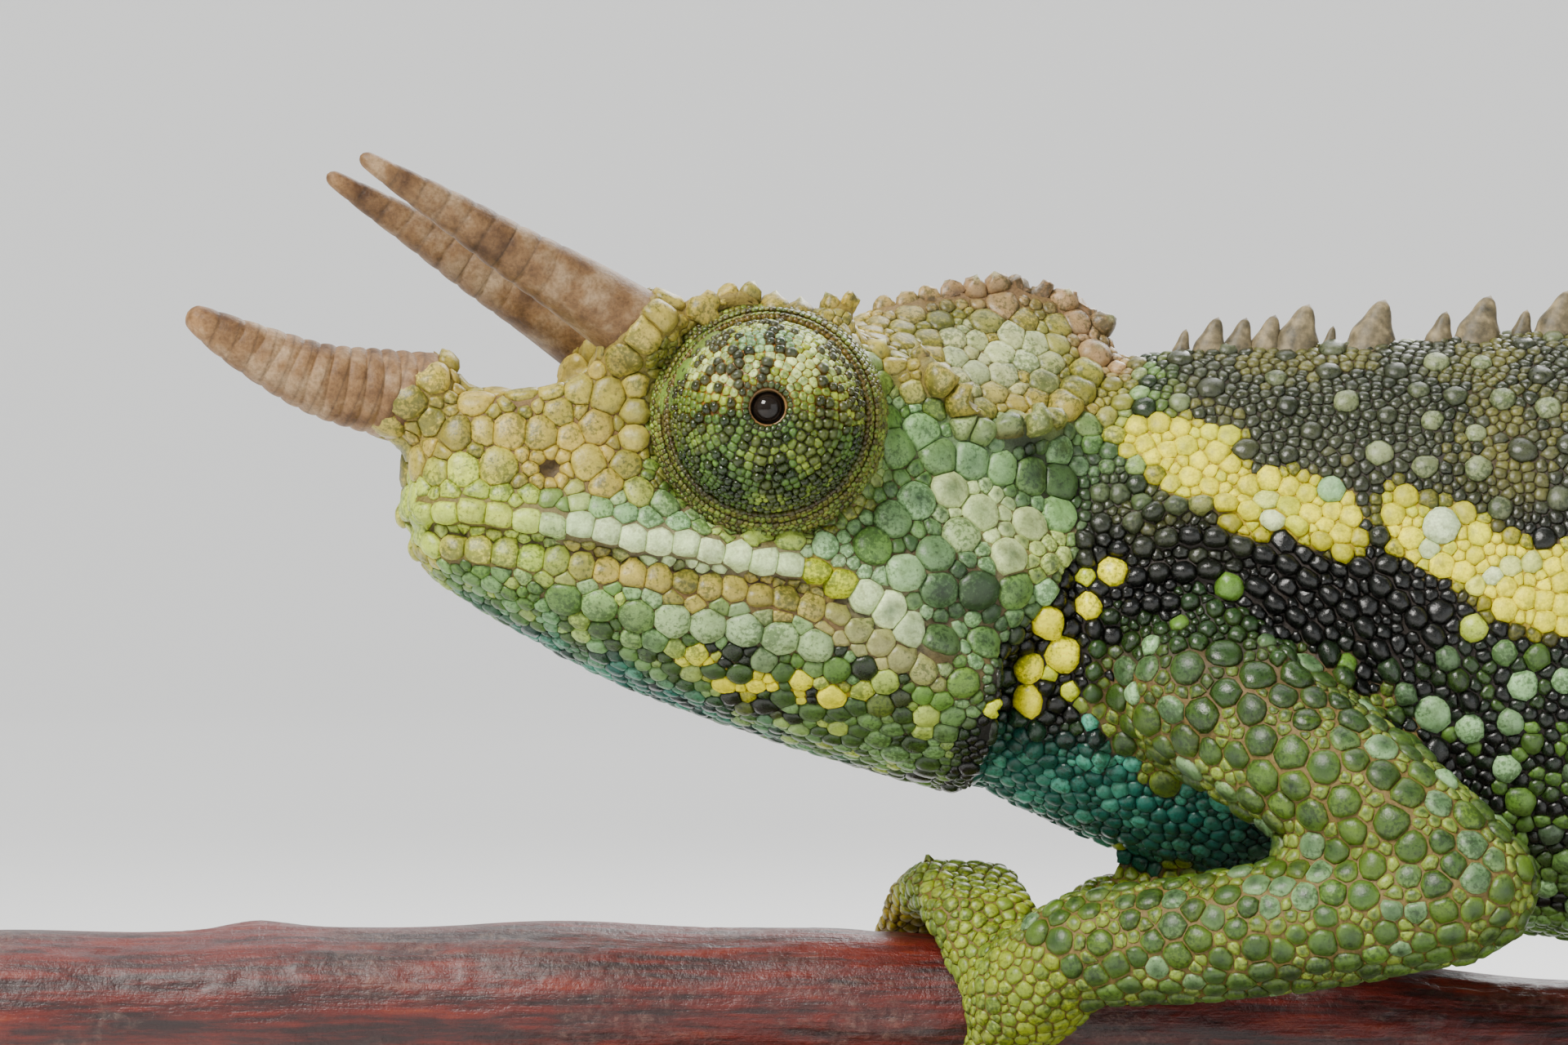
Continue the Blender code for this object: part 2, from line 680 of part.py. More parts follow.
def toe(start_x, end_x, start_angle, end_angle):
    """A toe wrapped part of the way round the branch, with its claw."""
    steps = 5
    points, radii = [], []
    for k in range(steps):
        t = k / (steps - 1)
        arch = TOE_ARCH * math.sin(math.pi * min(1.0, t * 1.15))
        angle = start_angle + (end_angle - start_angle) * t
        x = start_x + (end_x - start_x) * t ** 0.8
        points.append(around_branch(x, angle, BRANCH_RADIUS + TOE_RADIUS * 0.86 + arch))
        radii.append(TOE_RADIUS + (TOE_TIP_RADIUS - TOE_RADIUS) * t ** 2)
    onward = (points[-1] - points[-2]).normalized()
    inward = (branch_axis(end_x) - points[-1]).normalized()
    root = points[-1] + onward * 0.3 - inward * 0.15
    bend = root + onward * CLAW_LENGTH * 0.62 + inward * 0.1
    tip = root + onward * CLAW_LENGTH * 0.9 + inward * 0.75
    claw = tube("claw", [root, bend, tip], [CLAW_RADIUS, CLAW_RADIUS * 0.62, 0.14], 4)
    return [tube("toe", *rounded(points, radii, 1), TOE_SIDES), claw]


def joint_at(joint, side):
    return Vector((joint.x, joint.out * side, joint.z))


def make_foot(name, leg, branch):
    """A palm with one bundle of toes over the branch and one under it."""
    heel = joint_at(leg.end, leg.side)
    ahead = math.copysign(1.0, leg.grip - heel.x)
    palm_angle = math.pi / 2 - leg.side * math.radians(78)
    palm_end = around_branch(leg.grip - ahead * 2.4, palm_angle, BRANCH_RADIUS + 2.6)
    path = [heel, heel.lerp(palm_end, 0.55), palm_end]
    foot = tube(name, *rounded(path, [leg.end.radius, *PALM_RADII]), LIMB_SIDES)
    toes = []
    for bundle, reach in ((OVER, leg.reach), (UNDER, UNDER_REACH)):
        count = bundle.fore_toes if leg.parts is FORE else bundle.hind_toes
        start = math.pi / 2 - leg.side * (math.pi / 2 - math.radians(bundle.start))
        end = start + leg.side * bundle.sweep * math.radians(reach)
        for k in range(count):
            spread = (k - (count - 1) / 2) * TOE_PITCH
            start_x = leg.grip - ahead * 2.0 + spread * 0.55
            toes += toe(start_x, leg.grip + ahead * bundle.lean + spread, start, end)
    combine(foot, toes, "UNION")
    trim(foot, branch)
    return foot


def limb(name, start, end, side, lift):
    """A slightly bowed limb between two joints."""
    first, last = joint_at(start, side), joint_at(end, side)
    middle = first.lerp(last, 0.5) + Vector((0, side * 0.7, lift))
    path = smooth_path([first, middle, last], LIMB_STATIONS)
    return tube(name, *rounded(path, spaced(start.radius, end.radius, LIMB_STATIONS)), LIMB_SIDES)


def make_leg(leg, trunk, branch):
    word = "left" if leg.side == LEFT else "right"
    upper_name, lower_name, foot_name = (f"{part}_{word}" for part in leg.parts)
    upper = limb(upper_name, leg.root, leg.bend, leg.side, 0.6)
    lower = limb(lower_name, leg.bend, leg.end, leg.side, -0.5)
    foot = make_foot(foot_name, leg, branch)
    trim(lower, branch)
    trim(foot, lower)
    trim(upper, lower)
    for piece in (upper, lower, foot):
        trim(piece, *trunk)
    return [upper, lower, foot]


def coil_point(t):
    angle = COIL_START - math.tau * COIL_TURNS * t
    radius = COIL_RADIUS + (COIL_END_RADIUS - COIL_RADIUS) * t
    return COIL_CENTRE + Vector((math.cos(angle), 0, math.sin(angle))) * radius


def tail_points():
    """Evenly spaced points from the hips to the middle of the coil."""
    run = [
        TAIL_ROOT.lerp(coil_point(0.0), t) + Vector((0, 0, TAIL_BOW * math.sin(math.pi * t)))
        for t in spaced(0.0, 1.0, 12)
    ]
    fine = run + [coil_point(t) for t in spaced(0.0, 1.0, 160)][1:]
    lengths = [0.0]
    for a, b in zip(fine, fine[1:]):
        lengths.append(lengths[-1] + (b - a).length)
    points = []
    for length in spaced(0.0, lengths[-1], TAIL_STEPS + 1):
        i = min(len(fine) - 2, sum(1 for passed in lengths if passed <= length) - 1)
        points.append(fine[i].lerp(fine[i + 1], (length - lengths[i]) / (lengths[i + 1] - lengths[i])))
    return points


def tail_radius(share):
    flare = HIP_FLARE * math.exp(-(share / 0.07) ** 2)
    return TAIL_TIP_RADIUS + (TAIL_RADIUS - TAIL_TIP_RADIUS) * (1 - share) ** 1.05 + flare


def make_tail(loin):
    """Each part starts inside the one before it and is cut to meet it."""
    points = tail_points()
    pieces = [loin]
    for name, start, end in TAIL_PARTS:
        first = max(0, round(start * TAIL_STEPS) - 1)
        last = round(end * TAIL_STEPS)
        radii = [tail_radius(k / TAIL_STEPS) for k in range(first, last + 1)]
        piece = tube(name, points[first:last + 1], radii, TAIL_SIDES)
        piece.data.transform(Matrix.Diagonal((1.0, TAIL_NARROW, 1.0, 1.0)))
        trim(piece, pieces[-1])
        pieces.append(piece)
    return pieces[1:]


def make_stand(branch):
    """A flat base, and rods that end just under the bark."""
    mesh = bmesh.new()
    bmesh.ops.create_cube(mesh, size=1.0)
    bmesh.ops.scale(mesh, vec=BASE_SIZE, verts=mesh.verts)
    bmesh.ops.translate(mesh, vec=(0, 0, BASE_SIZE.z / 2), verts=mesh.verts)
    upright = [e for e in mesh.edges if abs(e.verts[0].co.z - e.verts[1].co.z) > 1.0]
    bmesh.ops.bevel(mesh, geom=upright, offset=BASE_CORNER, affect="EDGES", segments=4, profile=0.5)
    rim = [e for e in mesh.edges if min(v.co.z for v in e.verts) > BASE_SIZE.z - 0.01]
    bmesh.ops.bevel(mesh, geom=rim, offset=BASE_EDGE, affect="EDGES", segments=2, profile=0.5)
    bmesh.ops.translate(mesh, vec=(0, 0, -LIFT), verts=mesh.verts)
    base = finish_mesh(mesh, "stand_base")
    foot = BASE_SIZE.z - LIFT + GAP
    rods = []
    for word, x in zip(("front", "rear"), ROD_PLACES):
        height = branch_axis(x).z - foot - 1.0
        profile = ((0, height), (ROD_RADIUS, height), (ROD_RADIUS, 0), (0, 0))
        rod = turned(f"stand_rod_{word}", profile, Vector((x, 0, foot)), Vector((0, 0, 1)), 20)
        trim(rod, branch)
        rods.append(rod)
    return [base, *rods]


def dress(pieces, finish):
    for piece in pieces:
        piece.data.materials.clear()
        piece.data.materials.append(finish)
        piece.data.shade_smooth()
        piece.data.set_sharp_from_angle(angle=SHARP_ANGLE)


def main():
    clear_scene()
    branch = make_branch()
    head, jaw, horns, turrets, eyes, cutters = make_head()
    neck, chest, loin = make_trunk()
    combine(neck, cutters, "DIFFERENCE")
    trim(neck, jaw)
    legs = []
    for leg in LEGS:
        legs += make_leg(leg, (neck, chest) if leg.parts is FORE else (chest, loin), branch)
    tail = make_tail(loin)
    for piece, (_, start, end, _) in zip((chest, loin), TRUNK_PARTS[1:]):
        combine(piece, crest_spines(start, end), "UNION")
    base, *rods = make_stand(branch)
    dress([head, jaw], material("head_skin", (0.42, 0.50, 0.22), 0.55))
    dress(horns, material("horn", (0.42, 0.27, 0.17), 0.45))
    dress(turrets, material("eyelid_skin", (0.16, 0.20, 0.07), 0.4))
    dress(eyes, material("eye", (0.01, 0.01, 0.01), 0.05))
    dress([neck, chest, loin], material("trunk_skin", (0.10, 0.13, 0.10), 0.5))
    dress(legs, material("limb_skin", (0.22, 0.33, 0.12), 0.5))
    dress(tail, material("tail_skin", (0.16, 0.22, 0.10), 0.5))
    dress([branch], material("branch_wood", (0.16, 0.05, 0.025), 0.45))
    dress([base], material("stand_base", (0.05, 0.05, 0.055), 0.35))
    dress(rods, material("stand_rod", (0.6, 0.6, 0.6), 0.25, 1.0))
    group = bpy.data.collections.new("three_horned_chameleon")
    bpy.context.scene.collection.children.link(group)
    for piece in list(bpy.context.scene.collection.objects):
        bpy.context.scene.collection.objects.unlink(piece)
        group.objects.link(piece)
        piece.location.z = LIFT * MM


main()
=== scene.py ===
import math

import bmesh
import bpy
import numpy as np
from mathutils import Matrix, Vector
from mathutils.bvhtree import BVHTree
from mathutils.kdtree import KDTree


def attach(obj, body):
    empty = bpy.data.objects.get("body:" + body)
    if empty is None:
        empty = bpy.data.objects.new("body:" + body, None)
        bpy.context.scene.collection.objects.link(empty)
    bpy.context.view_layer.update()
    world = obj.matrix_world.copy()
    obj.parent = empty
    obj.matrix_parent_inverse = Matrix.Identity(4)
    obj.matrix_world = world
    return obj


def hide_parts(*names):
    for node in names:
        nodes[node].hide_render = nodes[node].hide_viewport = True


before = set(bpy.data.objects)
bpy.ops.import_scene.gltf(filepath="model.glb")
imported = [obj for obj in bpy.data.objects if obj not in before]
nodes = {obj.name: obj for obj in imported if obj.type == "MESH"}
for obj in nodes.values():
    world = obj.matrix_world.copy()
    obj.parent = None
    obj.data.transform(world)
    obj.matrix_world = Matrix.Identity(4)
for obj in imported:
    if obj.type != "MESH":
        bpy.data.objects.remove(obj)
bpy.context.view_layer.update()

# Everything is worked out in millimetres above the branch's axis, and turned into metres at the end.
lift = 29.3
rng = np.random.default_rng(11)

# The head's own frame points straight ahead, and the animal holds it turned and rolled about its joint.
headJoint = np.array([-30.0, 0.0, 22.7])
headPivot = np.array([0.0, 0.0, 22.7])
headTurn = np.array(Matrix.Rotation(math.radians(15), 3, "Z") @ Matrix.Rotation(math.radians(-5), 3, "X"))

# The photograph's camera, level and looking along +Y. A chart is the animal's left side in its pixels.
shot = {
    "eye": np.array([-45.0, -333.0, 25.7]), "lens": 144.6, "pixel": 0.042, "plane": -9.0,
    "middle": (960, 640),
}

# the nodes of each region, by how their names start
headWords = ("head", "lower_jaw")
trunkWords = ("neck", "chest", "loin")
limbWords = ("upper", "fore", "thigh", "shin", "hind")


def toHead(points):
    return (points - headJoint) @ headTurn + headPivot


def fromHead(points):
    return (points - headPivot) @ headTurn.T + headJoint


def onPlane(pixels):
    # where the pixels of the photograph lie on the plane of the near cheek
    pixels = np.asarray(pixels, float)
    x = shot["eye"][0] + (pixels[:, 0] - shot["middle"][0]) * shot["pixel"]
    z = shot["eye"][2] + (shot["middle"][1] - pixels[:, 1]) * shot["pixel"]
    return np.stack([x, np.full(len(x), shot["plane"]), z], axis=1)


def folded(points):
    # both sides of the animal on the side of +Y
    return points * [1, 0, 1] + np.abs(points) * [0, 1, 0]


def chart(points, isHead):
    # both sides of the animal folded on to the near one, in pixels
    near = folded(points) * [1, -1, 1]
    headNear = fromHead(folded(toHead(points)) * [1, -1, 1])
    flat = np.where(isHead[:, None], headNear, near)
    u = shot["middle"][0] + (flat[:, 0] - shot["eye"][0]) / shot["pixel"]
    v = shot["middle"][1] - (flat[:, 2] - shot["eye"][2]) / shot["pixel"]
    return u, v


def ramp(values, start, end):
    t = np.clip((values - start) / (end - start), 0, 1)
    return t * t * (3 - 2 * t)


def cloud(points, size, seed=0):
    # smooth random values from 0 to 1, in lumps of the given size
    at = points / size + seed * 17.3
    low = np.floor(at)
    part = at - low
    part = part * part * (3 - 2 * part)
    total = np.zeros(len(points))
    for corner in range(8):
        step = np.array([corner & 1, corner >> 1 & 1, corner >> 2 & 1])
        spread = np.sin((low + step) @ np.array([12.9898, 78.233, 37.719])) * 43758.5453
        total += (spread - np.floor(spread)) * np.prod(np.where(step, part, 1 - part), axis=1)
    return total


def lineAt(line, x):
    # the table's value at each x, along straight lines from row to row
    line = np.asarray(line, float)
    return np.interp(x, line[:, 0], line[:, 1])


def unit(vectors):
    return vectors / np.maximum(np.linalg.norm(vectors, axis=-1, keepdims=True), 1e-9)


def newObject(name, data):
    obj = bpy.data.objects.new(name, data)
    bpy.context.scene.collection.objects.link(obj)
    return obj


def asMesh(name, shape):
    data = bpy.data.meshes.new(name)
    shape.to_mesh(data)
    shape.free()
    return data


def joined(parts):
    # several meshes in one bmesh
    whole = bmesh.new()
    for part in parts:
        whole.from_mesh(part)
        bpy.data.meshes.remove(part)
    return whole


def readArray(items, field, width, kind=np.float64):
    values = np.empty(len(items) * width, kind)
    items.foreach_get(field, values)
    return values.reshape(-1, width)


def toRow(points):
    return ((points + [0, 0, lift]) * 0.001).astype(np.float32)


def fromRow(items, field="co"):
    return readArray(items, field, 3) * 1000 - [0, 0, lift]


def finishPiece(name, data, material, slot, *replaced):
    data.materials.clear()
    data.materials.append(material)
    data.shade_smooth()
    obj = newObject(name, data)
    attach(obj, "root")
    if replaced:
        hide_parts(*replaced)


def addTint(data, colours, gloss):
    # a colour for each vertex, with its roughness in the alpha
    layer = data.color_attributes.new("tint", "FLOAT_COLOR", "POINT")
    both = np.concatenate([colours, np.broadcast_to(np.reshape(gloss, (-1, 1)), (len(colours), 1))], axis=1)
    layer.data.foreach_set("color", both.astype(np.float32).ravel())


# Shader sockets, written as expressions

def operator(operation, flip=False):
    return lambda wire, other: wire.math(operation, other, flip)


class Wire:
    __add__ = operator("ADD")
    __radd__ = operator("ADD", True)
    __sub__ = operator("SUBTRACT")
    __rsub__ = operator("SUBTRACT", True)
    __mul__ = operator("MULTIPLY")
    __rmul__ = operator("MULTIPLY", True)

    def __init__(self, tree, socket):
        self.tree = tree
        self.socket = socket

    def math(self, operation, other, flip=False):
        node = self.tree.nodes.new("ShaderNodeMath")
        node.operation = operation
        for place, value in zip(node.inputs, (other, self) if flip else (self, other)):
            if isinstance(value, Wire):
                self.tree.links.new(value.socket, place)
            else:
                place.default_value = value
        return Wire(self.tree, node.outputs[0])


class Finish:
    # a material and the one way that nodes are added to it
    def __init__(self, name, **sockets):
        self.material = bpy.data.materials.new(name)
        self.material.use_nodes = True
        self.tree = self.material.node_tree
        self.shader = self.tree.nodes["Principled BSDF"]
        for socket, value in sockets.items():
            self.shader.inputs[socket.replace("_", " ")].default_value = value

    def node(self, kind, settings=None, inputs=None, output=0):
        node = self.tree.nodes.new("ShaderNode" + kind)
        for name, value in (settings or {}).items():
            if name == "stops":
                while len(node.color_ramp.elements) < len(value):
                    node.color_ramp.elements.new(1.0)
                for element, (at, colour) in zip(node.color_ramp.elements, value):
                    element.position = at
                    element.color = (*colour, 1.0)
            else:
                setattr(node, name, value)
        for name, value in (inputs or {}).items():
            if isinstance(value, Wire):
                self.tree.links.new(value.socket, node.inputs[name])
            else:
                node.inputs[name].default_value = value
        return Wire(self.tree, node.outputs[output])

    def feed(self, socket, wire):
        self.tree.links.new(wire.socket, self.shader.inputs[socket])

    def noise(self, scale, detail=3.0, roughness=0.6, stretch=None):
        # stretch is how many times finer the pattern is along each axis
        place = self.node("TexCoord", output="Object")
        if stretch:
            place = self.node("Mapping", None, {"Vector": place, "Scale": stretch})
        inputs = {"Vector": place, "Scale": scale, "Detail": detail, "Roughness": roughness}
        return self.node("TexNoise", None, inputs)

    def tint(self, output="Color"):
        return self.node("Attribute", {"attribute_name": "tint"}, output=output)

    def ramped(self, wire, *stops):
        return self.node("ValToRGB", {"stops": stops}, {"Fac": wire})

    def mixed(self, a, b, factor, blend="MIX"):
        a, b = (part if isinstance(part, Wire) else (*part, 1.0) for part in (a, b))
        settings = {"data_type": "RGBA", "blend_type": blend}
        return self.node("Mix", settings, {"Factor": factor, 6: a, 7: b}, output=2)

    def stained(self, colour, stain, share):
        return self.mixed(colour, stain, share, "MULTIPLY")

    def bumped(self, height, strength, distance):
        inputs = {"Height": height, "Strength": strength, "Distance": distance}
        self.feed("Normal", self.node("Bump", None, inputs))


def paint(red, green, blue, draw=1.12):
    # a colour as it looks, with its hue drawn out against the view's softening
    value = np.array([(part / 255) ** 2.2 for part in (red, green, blue)])
    grey = value @ [0.25, 0.6, 0.15]
    return np.clip(grey + (value - grey) * draw, 0.003, 1)


paints = {
    "ochre": paint(178, 158, 84), "olive": paint(134, 130, 62), "rust": paint(118, 84, 58),
    "clay": paint(166, 134, 104), "lime": paint(180, 196, 92), "leaf": paint(96, 130, 62),
    "mint": paint(150, 188, 140), "frost": paint(214, 232, 190), "cream": paint(228, 246, 178),
    "deep": paint(34, 54, 28), "night": paint(16, 20, 18), "teal": paint(30, 92, 82),
    "aqua": paint(88, 160, 138), "sun": np.array([0.93, 0.84, 0.0]), "tan": paint(160, 146, 80),
    "slate": paint(62, 66, 50), "lichen": paint(140, 150, 112), "mustard": paint(186, 158, 36),
    "arm": paint(84, 108, 44), "armHeart": paint(52, 82, 48), "hand": paint(136, 150, 58),
    "bark": paint(70, 52, 34), "spring": np.array([0.56, 0.62, 0.015]),
}

# Skin

skinSizes = {
    "voxel": 0.5, "grow": 0.25, "depth": 0.3, "mouthDepth": 0.4, "mouthWidth": 0.42, "lipHeight": 0.22,
    "foldDepth": 0.42, "neckHollow": 0.12, "coilGap": (75.7, 0.0, 7.8), "gapReach": 4.0,
    "allRounds": 6, "knobRounds": 40, "ledgeRounds": 70,
}
trunkTop = (
    (-38, 27), (-33, 31), (-28, 34.6), (-22, 35.1), (-10, 35.6), (4, 36.6), (18, 36.8), (30, 35.2),
    (40, 31.6), (50, 26.2),
)
mouthLine = (
    (500, 646), (600, 655), (700, 670), (760, 682), (860, 697), (960, 715), (1020, 730), (1060, 755),
    (1110, 785), (1140, 810), (1200, 822),
)
foldLines = (
    ((1385, 640), (1440, 618), (1510, 618), (1580, 640), (1650, 682), (1715, 735), (1770, 800), (1800, 860)),
    ((1370, 678), (1430, 658), (1500, 660), (1570, 685), (1630, 728), (1685, 785), (1720, 850)),
    ((1362, 716), (1420, 697), (1488, 700), (1550, 726), (1602, 770), (1645, 828)),
    ((1358, 756), (1412, 736), (1472, 739), (1526, 762), (1570, 806)),
    ((1325, 660), (1338, 720), (1342, 790), (1338, 860), (1348, 930)),
    ((1285, 690), (1292, 740), (1286, 800), (1272, 860), (1268, 920)),
)
nostril = {
    "place": (-29.0, 4.7, 28.0), "radius": 0.5, "depth": 0.9, "clear": 0.55, "ring": 0.9, "scales": 8,
    "scaleRadius": 0.38,
}
fleshNodes = sorted(n for n in nodes if not n.startswith(("horn", "eye", "branch", "stand")))


def copyOfNodes(names, grow):
    gap = Vector(skinSizes["coilGap"])
    parts = []
    for name in names:
        part = bmesh.new()
        part.from_mesh(nodes[name].data)
        bmesh.ops.scale(part, vec=(1000, 1000, 1000), verts=part.verts)
        bmesh.ops.translate(part, vec=(0, 0, -lift), verts=part.verts)
        bmesh.ops.remove_doubles(part, verts=part.verts, dist=0.002)
        part.normal_update()
        moves = [v.normal * min(v.calc_shell_factor(), 1.3) * grow for v in part.verts]
        for vert, move in zip(part.verts, moves):
            # the coil's top stays clear of the tail above it
            vert.co += move * ((vert.co - gap).length > skinSizes["gapReach"])
        parts.append(asMesh("part", part))
    return asMesh("flesh", joined(parts))


def withModifier(data, kind, **settings):
    obj = newObject("work", data)
    modifier = obj.modifiers.new("work", kind)
    for name, value in settings.items():
        setattr(modifier, name, value)
    graph = bpy.context.evaluated_depsgraph_get()
    made = bpy.data.meshes.new_from_object(obj.evaluated_get(graph))
    bpy.data.objects.remove(obj)
    return made


# rows of knobs in the head's own frame: the brow, the casque's edge and the casque's crest
knobLines = (
    ((-21.0, 5.7, 36.7), (-17.5, 5.9, 37.6), (-13.0, 6.0, 36.6), (-9.9, 6.6, 34.6)),
    (
        (-9.0, 6.9, 32.4), (-6.6, 7.1, 30.4), (-4.4, 6.9, 29.7), (-2.2, 6.0, 31.2), (-0.2, 4.9, 33.2),
        (1.6, 3.2, 35.4),
    ),
    ((-9.6, 0.0, 36.8), (-6.5, 0.0, 37.8), (-3.0, 0.0, 38.2), (0.0, 0.0, 37.6), (2.2, 0.0, 36.1)),
)
# the spacing, radius, rise and peak of the scales in each of those rows
knobSizes = ((1.32, 0.68, 0.8, 0.8), (1.66, 0.95, 0.75, 0.3), (1.3, 0.7, 0.85, 0.7))
# the crease behind the jaw: its x and z
jawCrease = (-35.0, 12.2)

# each horn in the head's own frame: its foot and the way to its tip, its radius, how far the sheath round its
# foot slants, how far it sags, how blunt it is, how much of it is smooth, and its shade
horns = {
    "horn_nose": {
        "foot": (-34.6, 0.0, 32.1), "way": (-12.2, 0.0, 4.4), "radius": 2.42, "slant": 1.2, "sag": 0.9,
        "fullness": 0.6, "smooth": 0.0, "shade": 1.0,
    },
    "horn_brow_left": {
        "foot": (-24.0, -5.0, 35.1), "way": (-14.8, -0.7, 8.8), "radius": 2.0, "slant": 0.3, "sag": 0.0,
        "fullness": 0.8, "smooth": 0.45, "shade": 0.8,
    },
    "horn_brow_right": {
        "foot": (-23.8, 5.0, 35.5), "way": (-14.6, 0.3, 9.0), "radius": 2.0, "slant": 0.3, "sag": 0.0,
        "fullness": 0.8, "smooth": 0.45, "shade": 0.8,
    },
}


def hornAxes(horn):
    # the horn's foot, the way along it, and the way across it that points most upwards
    ahead = unit(np.array(horn["way"]))
    return np.array(horn["foot"]), ahead, unit(np.array([0, 0, 1.0]) - ahead * ahead[2])


def hornChart(own, horn):
    # distance along the horn and out from its axis, where its sheath ends, and the way outwards
    foot, ahead, up = hornAxes(horn)
    along = (own - foot) @ ahead
    out = own - foot - along[:, None] * ahead
    away = np.linalg.norm(out, axis=1)
    out = unit(out)
    return along, away, 1.1 - horn["slant"] * (out @ up), out


def sheathed(points):
    # the skin stands just proud of each horn up to the sheath's end, and dives inside it there
    own = toHead(points)
    for horn in horns.values():
        along, away, limit, out = hornChart(own, horn)
        proud = horn["radius"] * (1 - 0.05 * np.maximum(0, along)) + 0.12
        wanted = proud - 0.75 * ramp(along, limit - 0.1, limit + 0.4)
        shift = np.where(along > limit, np.minimum(0, wanted - away), np.maximum(0, wanted - away))
        shift *= (away < horn["radius"] + 1.0) * ramp(along, -1.8, -0.5)
        own = own + out * shift[:, None]
    return fromHead(own)


def spread(line, spacing):
    # evenly spaced points along a line of points
    line = np.asarray(line, float)
    lengths = np.concatenate([[0], np.cumsum(np.linalg.norm(np.diff(line, axis=0), axis=1))])
    count = max(2, round(lengths[-1] / spacing) + 1)
    at = np.linspace(0, lengths[-1], count)
    return np.stack([np.interp(at, lengths, line[:, k]) for k in range(line.shape[1])], axis=1)


def ledgeZone(points):
    # 1 round the casque's overhanging edge and in the crease behind the jaw
    own = folded(toHead(points))
    zone = 1 - ramp(np.hypot(points[:, 0] - jawCrease[0], points[:, 2] - jawCrease[1]), 2.6, 4.4)
    for spot in spread(knobLines[1], 0.7):
        zone = np.maximum(zone, 1 - ramp(np.linalg.norm(own - spot, axis=1), 2.8, 4.4))
    return zone[:, None]


def knobZone(points):
    # 1 where the solids have knobs and collars, which the scales make instead
    own = toHead(points)
    zone = np.zeros(len(points))
    for line in knobLines:
        for spot in spread(line, 0.7):
            zone = np.maximum(zone, 1 - ramp(np.linalg.norm(folded(own) - spot, axis=1), 2.0, 3.2))
    for horn in horns.values():
        foot, ahead, _ = hornAxes(horn)
        zone = np.maximum(zone, 1 - ramp(np.linalg.norm(own - (foot + ahead * 0.8), axis=1), 3.8, 4.8))
    return zone[:, None]


def evened(points, links, rounds, share=1.0):
    # smooths without shrinking: each round pulls in and then pushes out again
    a, b = links.T
    count = len(points)
    degree = (np.bincount(a, minlength=count) + np.bincount(b, minlength=count))[:, None]
    for _ in range(rounds):
        for pull in (0.5, -0.52):
            sums = np.stack([
                np.bincount(a, points[b, k], count) + np.bincount(b, points[a, k], count) for k in range(3)
            ], axis=1)
            points = points + (sums / degree - points) * pull * share
    return points


def vertexNormals(points, quads):
    corners = points[quads]
    faces = np.cross(corners[:, 2] - corners[:, 0], corners[:, 3] - corners[:, 1])
    total = np.zeros_like(points)
    for k in range(3):
        for corner in range(4):
            total[:, k] += np.bincount(quads[:, corner], faces[:, k], len(points))
    return unit(total)


def nearestNodes(points):
    # the CAD node that each point belongs to
    spots, owners = [], []
    for index, name in enumerate(fleshNodes):
        data = nodes[name].data
        spots.append(np.concatenate([fromRow(data.vertices), fromRow(data.polygons, "center")]))
        owners += [index] * len(spots[-1])
    tree = KDTree(len(owners))
    for index, spot in enumerate(np.concatenate(spots)):
        tree.insert(spot, index)
    tree.balance()
    return np.array([owners[tree.find(point)[1]] for point in points])


def partMask(owner, *words):
    picked = [i for i, name in enumerate(fleshNodes) if name.startswith(words)]
    return np.isin(owner, picked)


def nostrils():
    x, y, z = nostril["place"]
    return fromHead(np.array([(x, -y, z), (x, y, z)]))


def lineDistance(u, v, line):
    # how far each point of the chart is from a line of points
    best = np.full(len(u), 1e6)
    for (ax, ay), (bx, by) in zip(line, line[1:]):
        long = (bx - ax) ** 2 + (by - ay) ** 2
        t = np.clip(((u - ax) * (bx - ax) + (v - ay) * (by - ay)) / long, 0, 1)
        best = np.minimum(best, np.hypot(u - ax - t * (bx - ax), v - ay - t * (by - ay)))
    return best


def foldHeight(points, owner):
    # 1 along the ridges of the loose skin before the shoulder, and 0 away from them
    u, v = chart(points, partMask(owner, *headWords))
    away = np.min([lineDistance(u, v, line) for line in foldLines], axis=0)
    return np.exp(-(away / 14) ** 2) * ~partMask(owner, "fore", "hind", "thigh", "shin", "tail")


turret = {
    "centre": np.array([-17.9, 6.4, 30.4]),
    "axis": unit(np.array([-math.sin(math.radians(15)), math.cos(math.radians(15)), 0.03])),
}


def turretOffset(own):
    # how far each point of the head lies from the axis of the turret on its side
    out = folded(own) - turret["centre"]
    depth = out @ turret["axis"]
    return np.linalg.norm(out - depth[:, None] * turret["axis"], axis=1)


# the turret's profile: distance from its axis, and depth along it
turretLine = (
    (0.98, 4.5), (1.0, 5.16), (1.1, 5.4), (1.3, 5.47), (1.8, 5.32), (2.6, 4.98), (3.3, 4.5), (3.9, 3.92),
    (4.35, 3.3), (4.65, 2.74), (4.8, 2.28), (4.86, 1.96), (4.98, 1.84), (5.14, 1.9), (5.27, 1.78),
    (5.33, 1.5), (5.43, 1.4), (5.58, 1.36), (5.68, 1.1), (5.72, 0.86), (5.82, 0.74), (5.94, 0.56),
    (6.02, 0.2), (6.12, -0.2), (6.3, -0.7),
)


def underTurrets(points):
    # presses the skin down where the turrets' own folds stand over it
    own = toHead(points)
    side = np.where(own[:, 1:2] < 0, [1, -1, 1], [1, 1, 1])
    axis = turret["axis"] * side
    depth = ((own - turret["centre"] * side) * axis).sum(axis=1)
    away = turretOffset(own)
    allowed = np.interp(away, *zip(*turretLine[4:])) - 0.35 + 4 * ramp(away, 6.0, 6.5)
    near = (away < 6.5) & (depth > -3)
    move = np.where(near, np.minimum(0, allowed - depth), 0)
    return fromHead(own + axis * move[:, None])


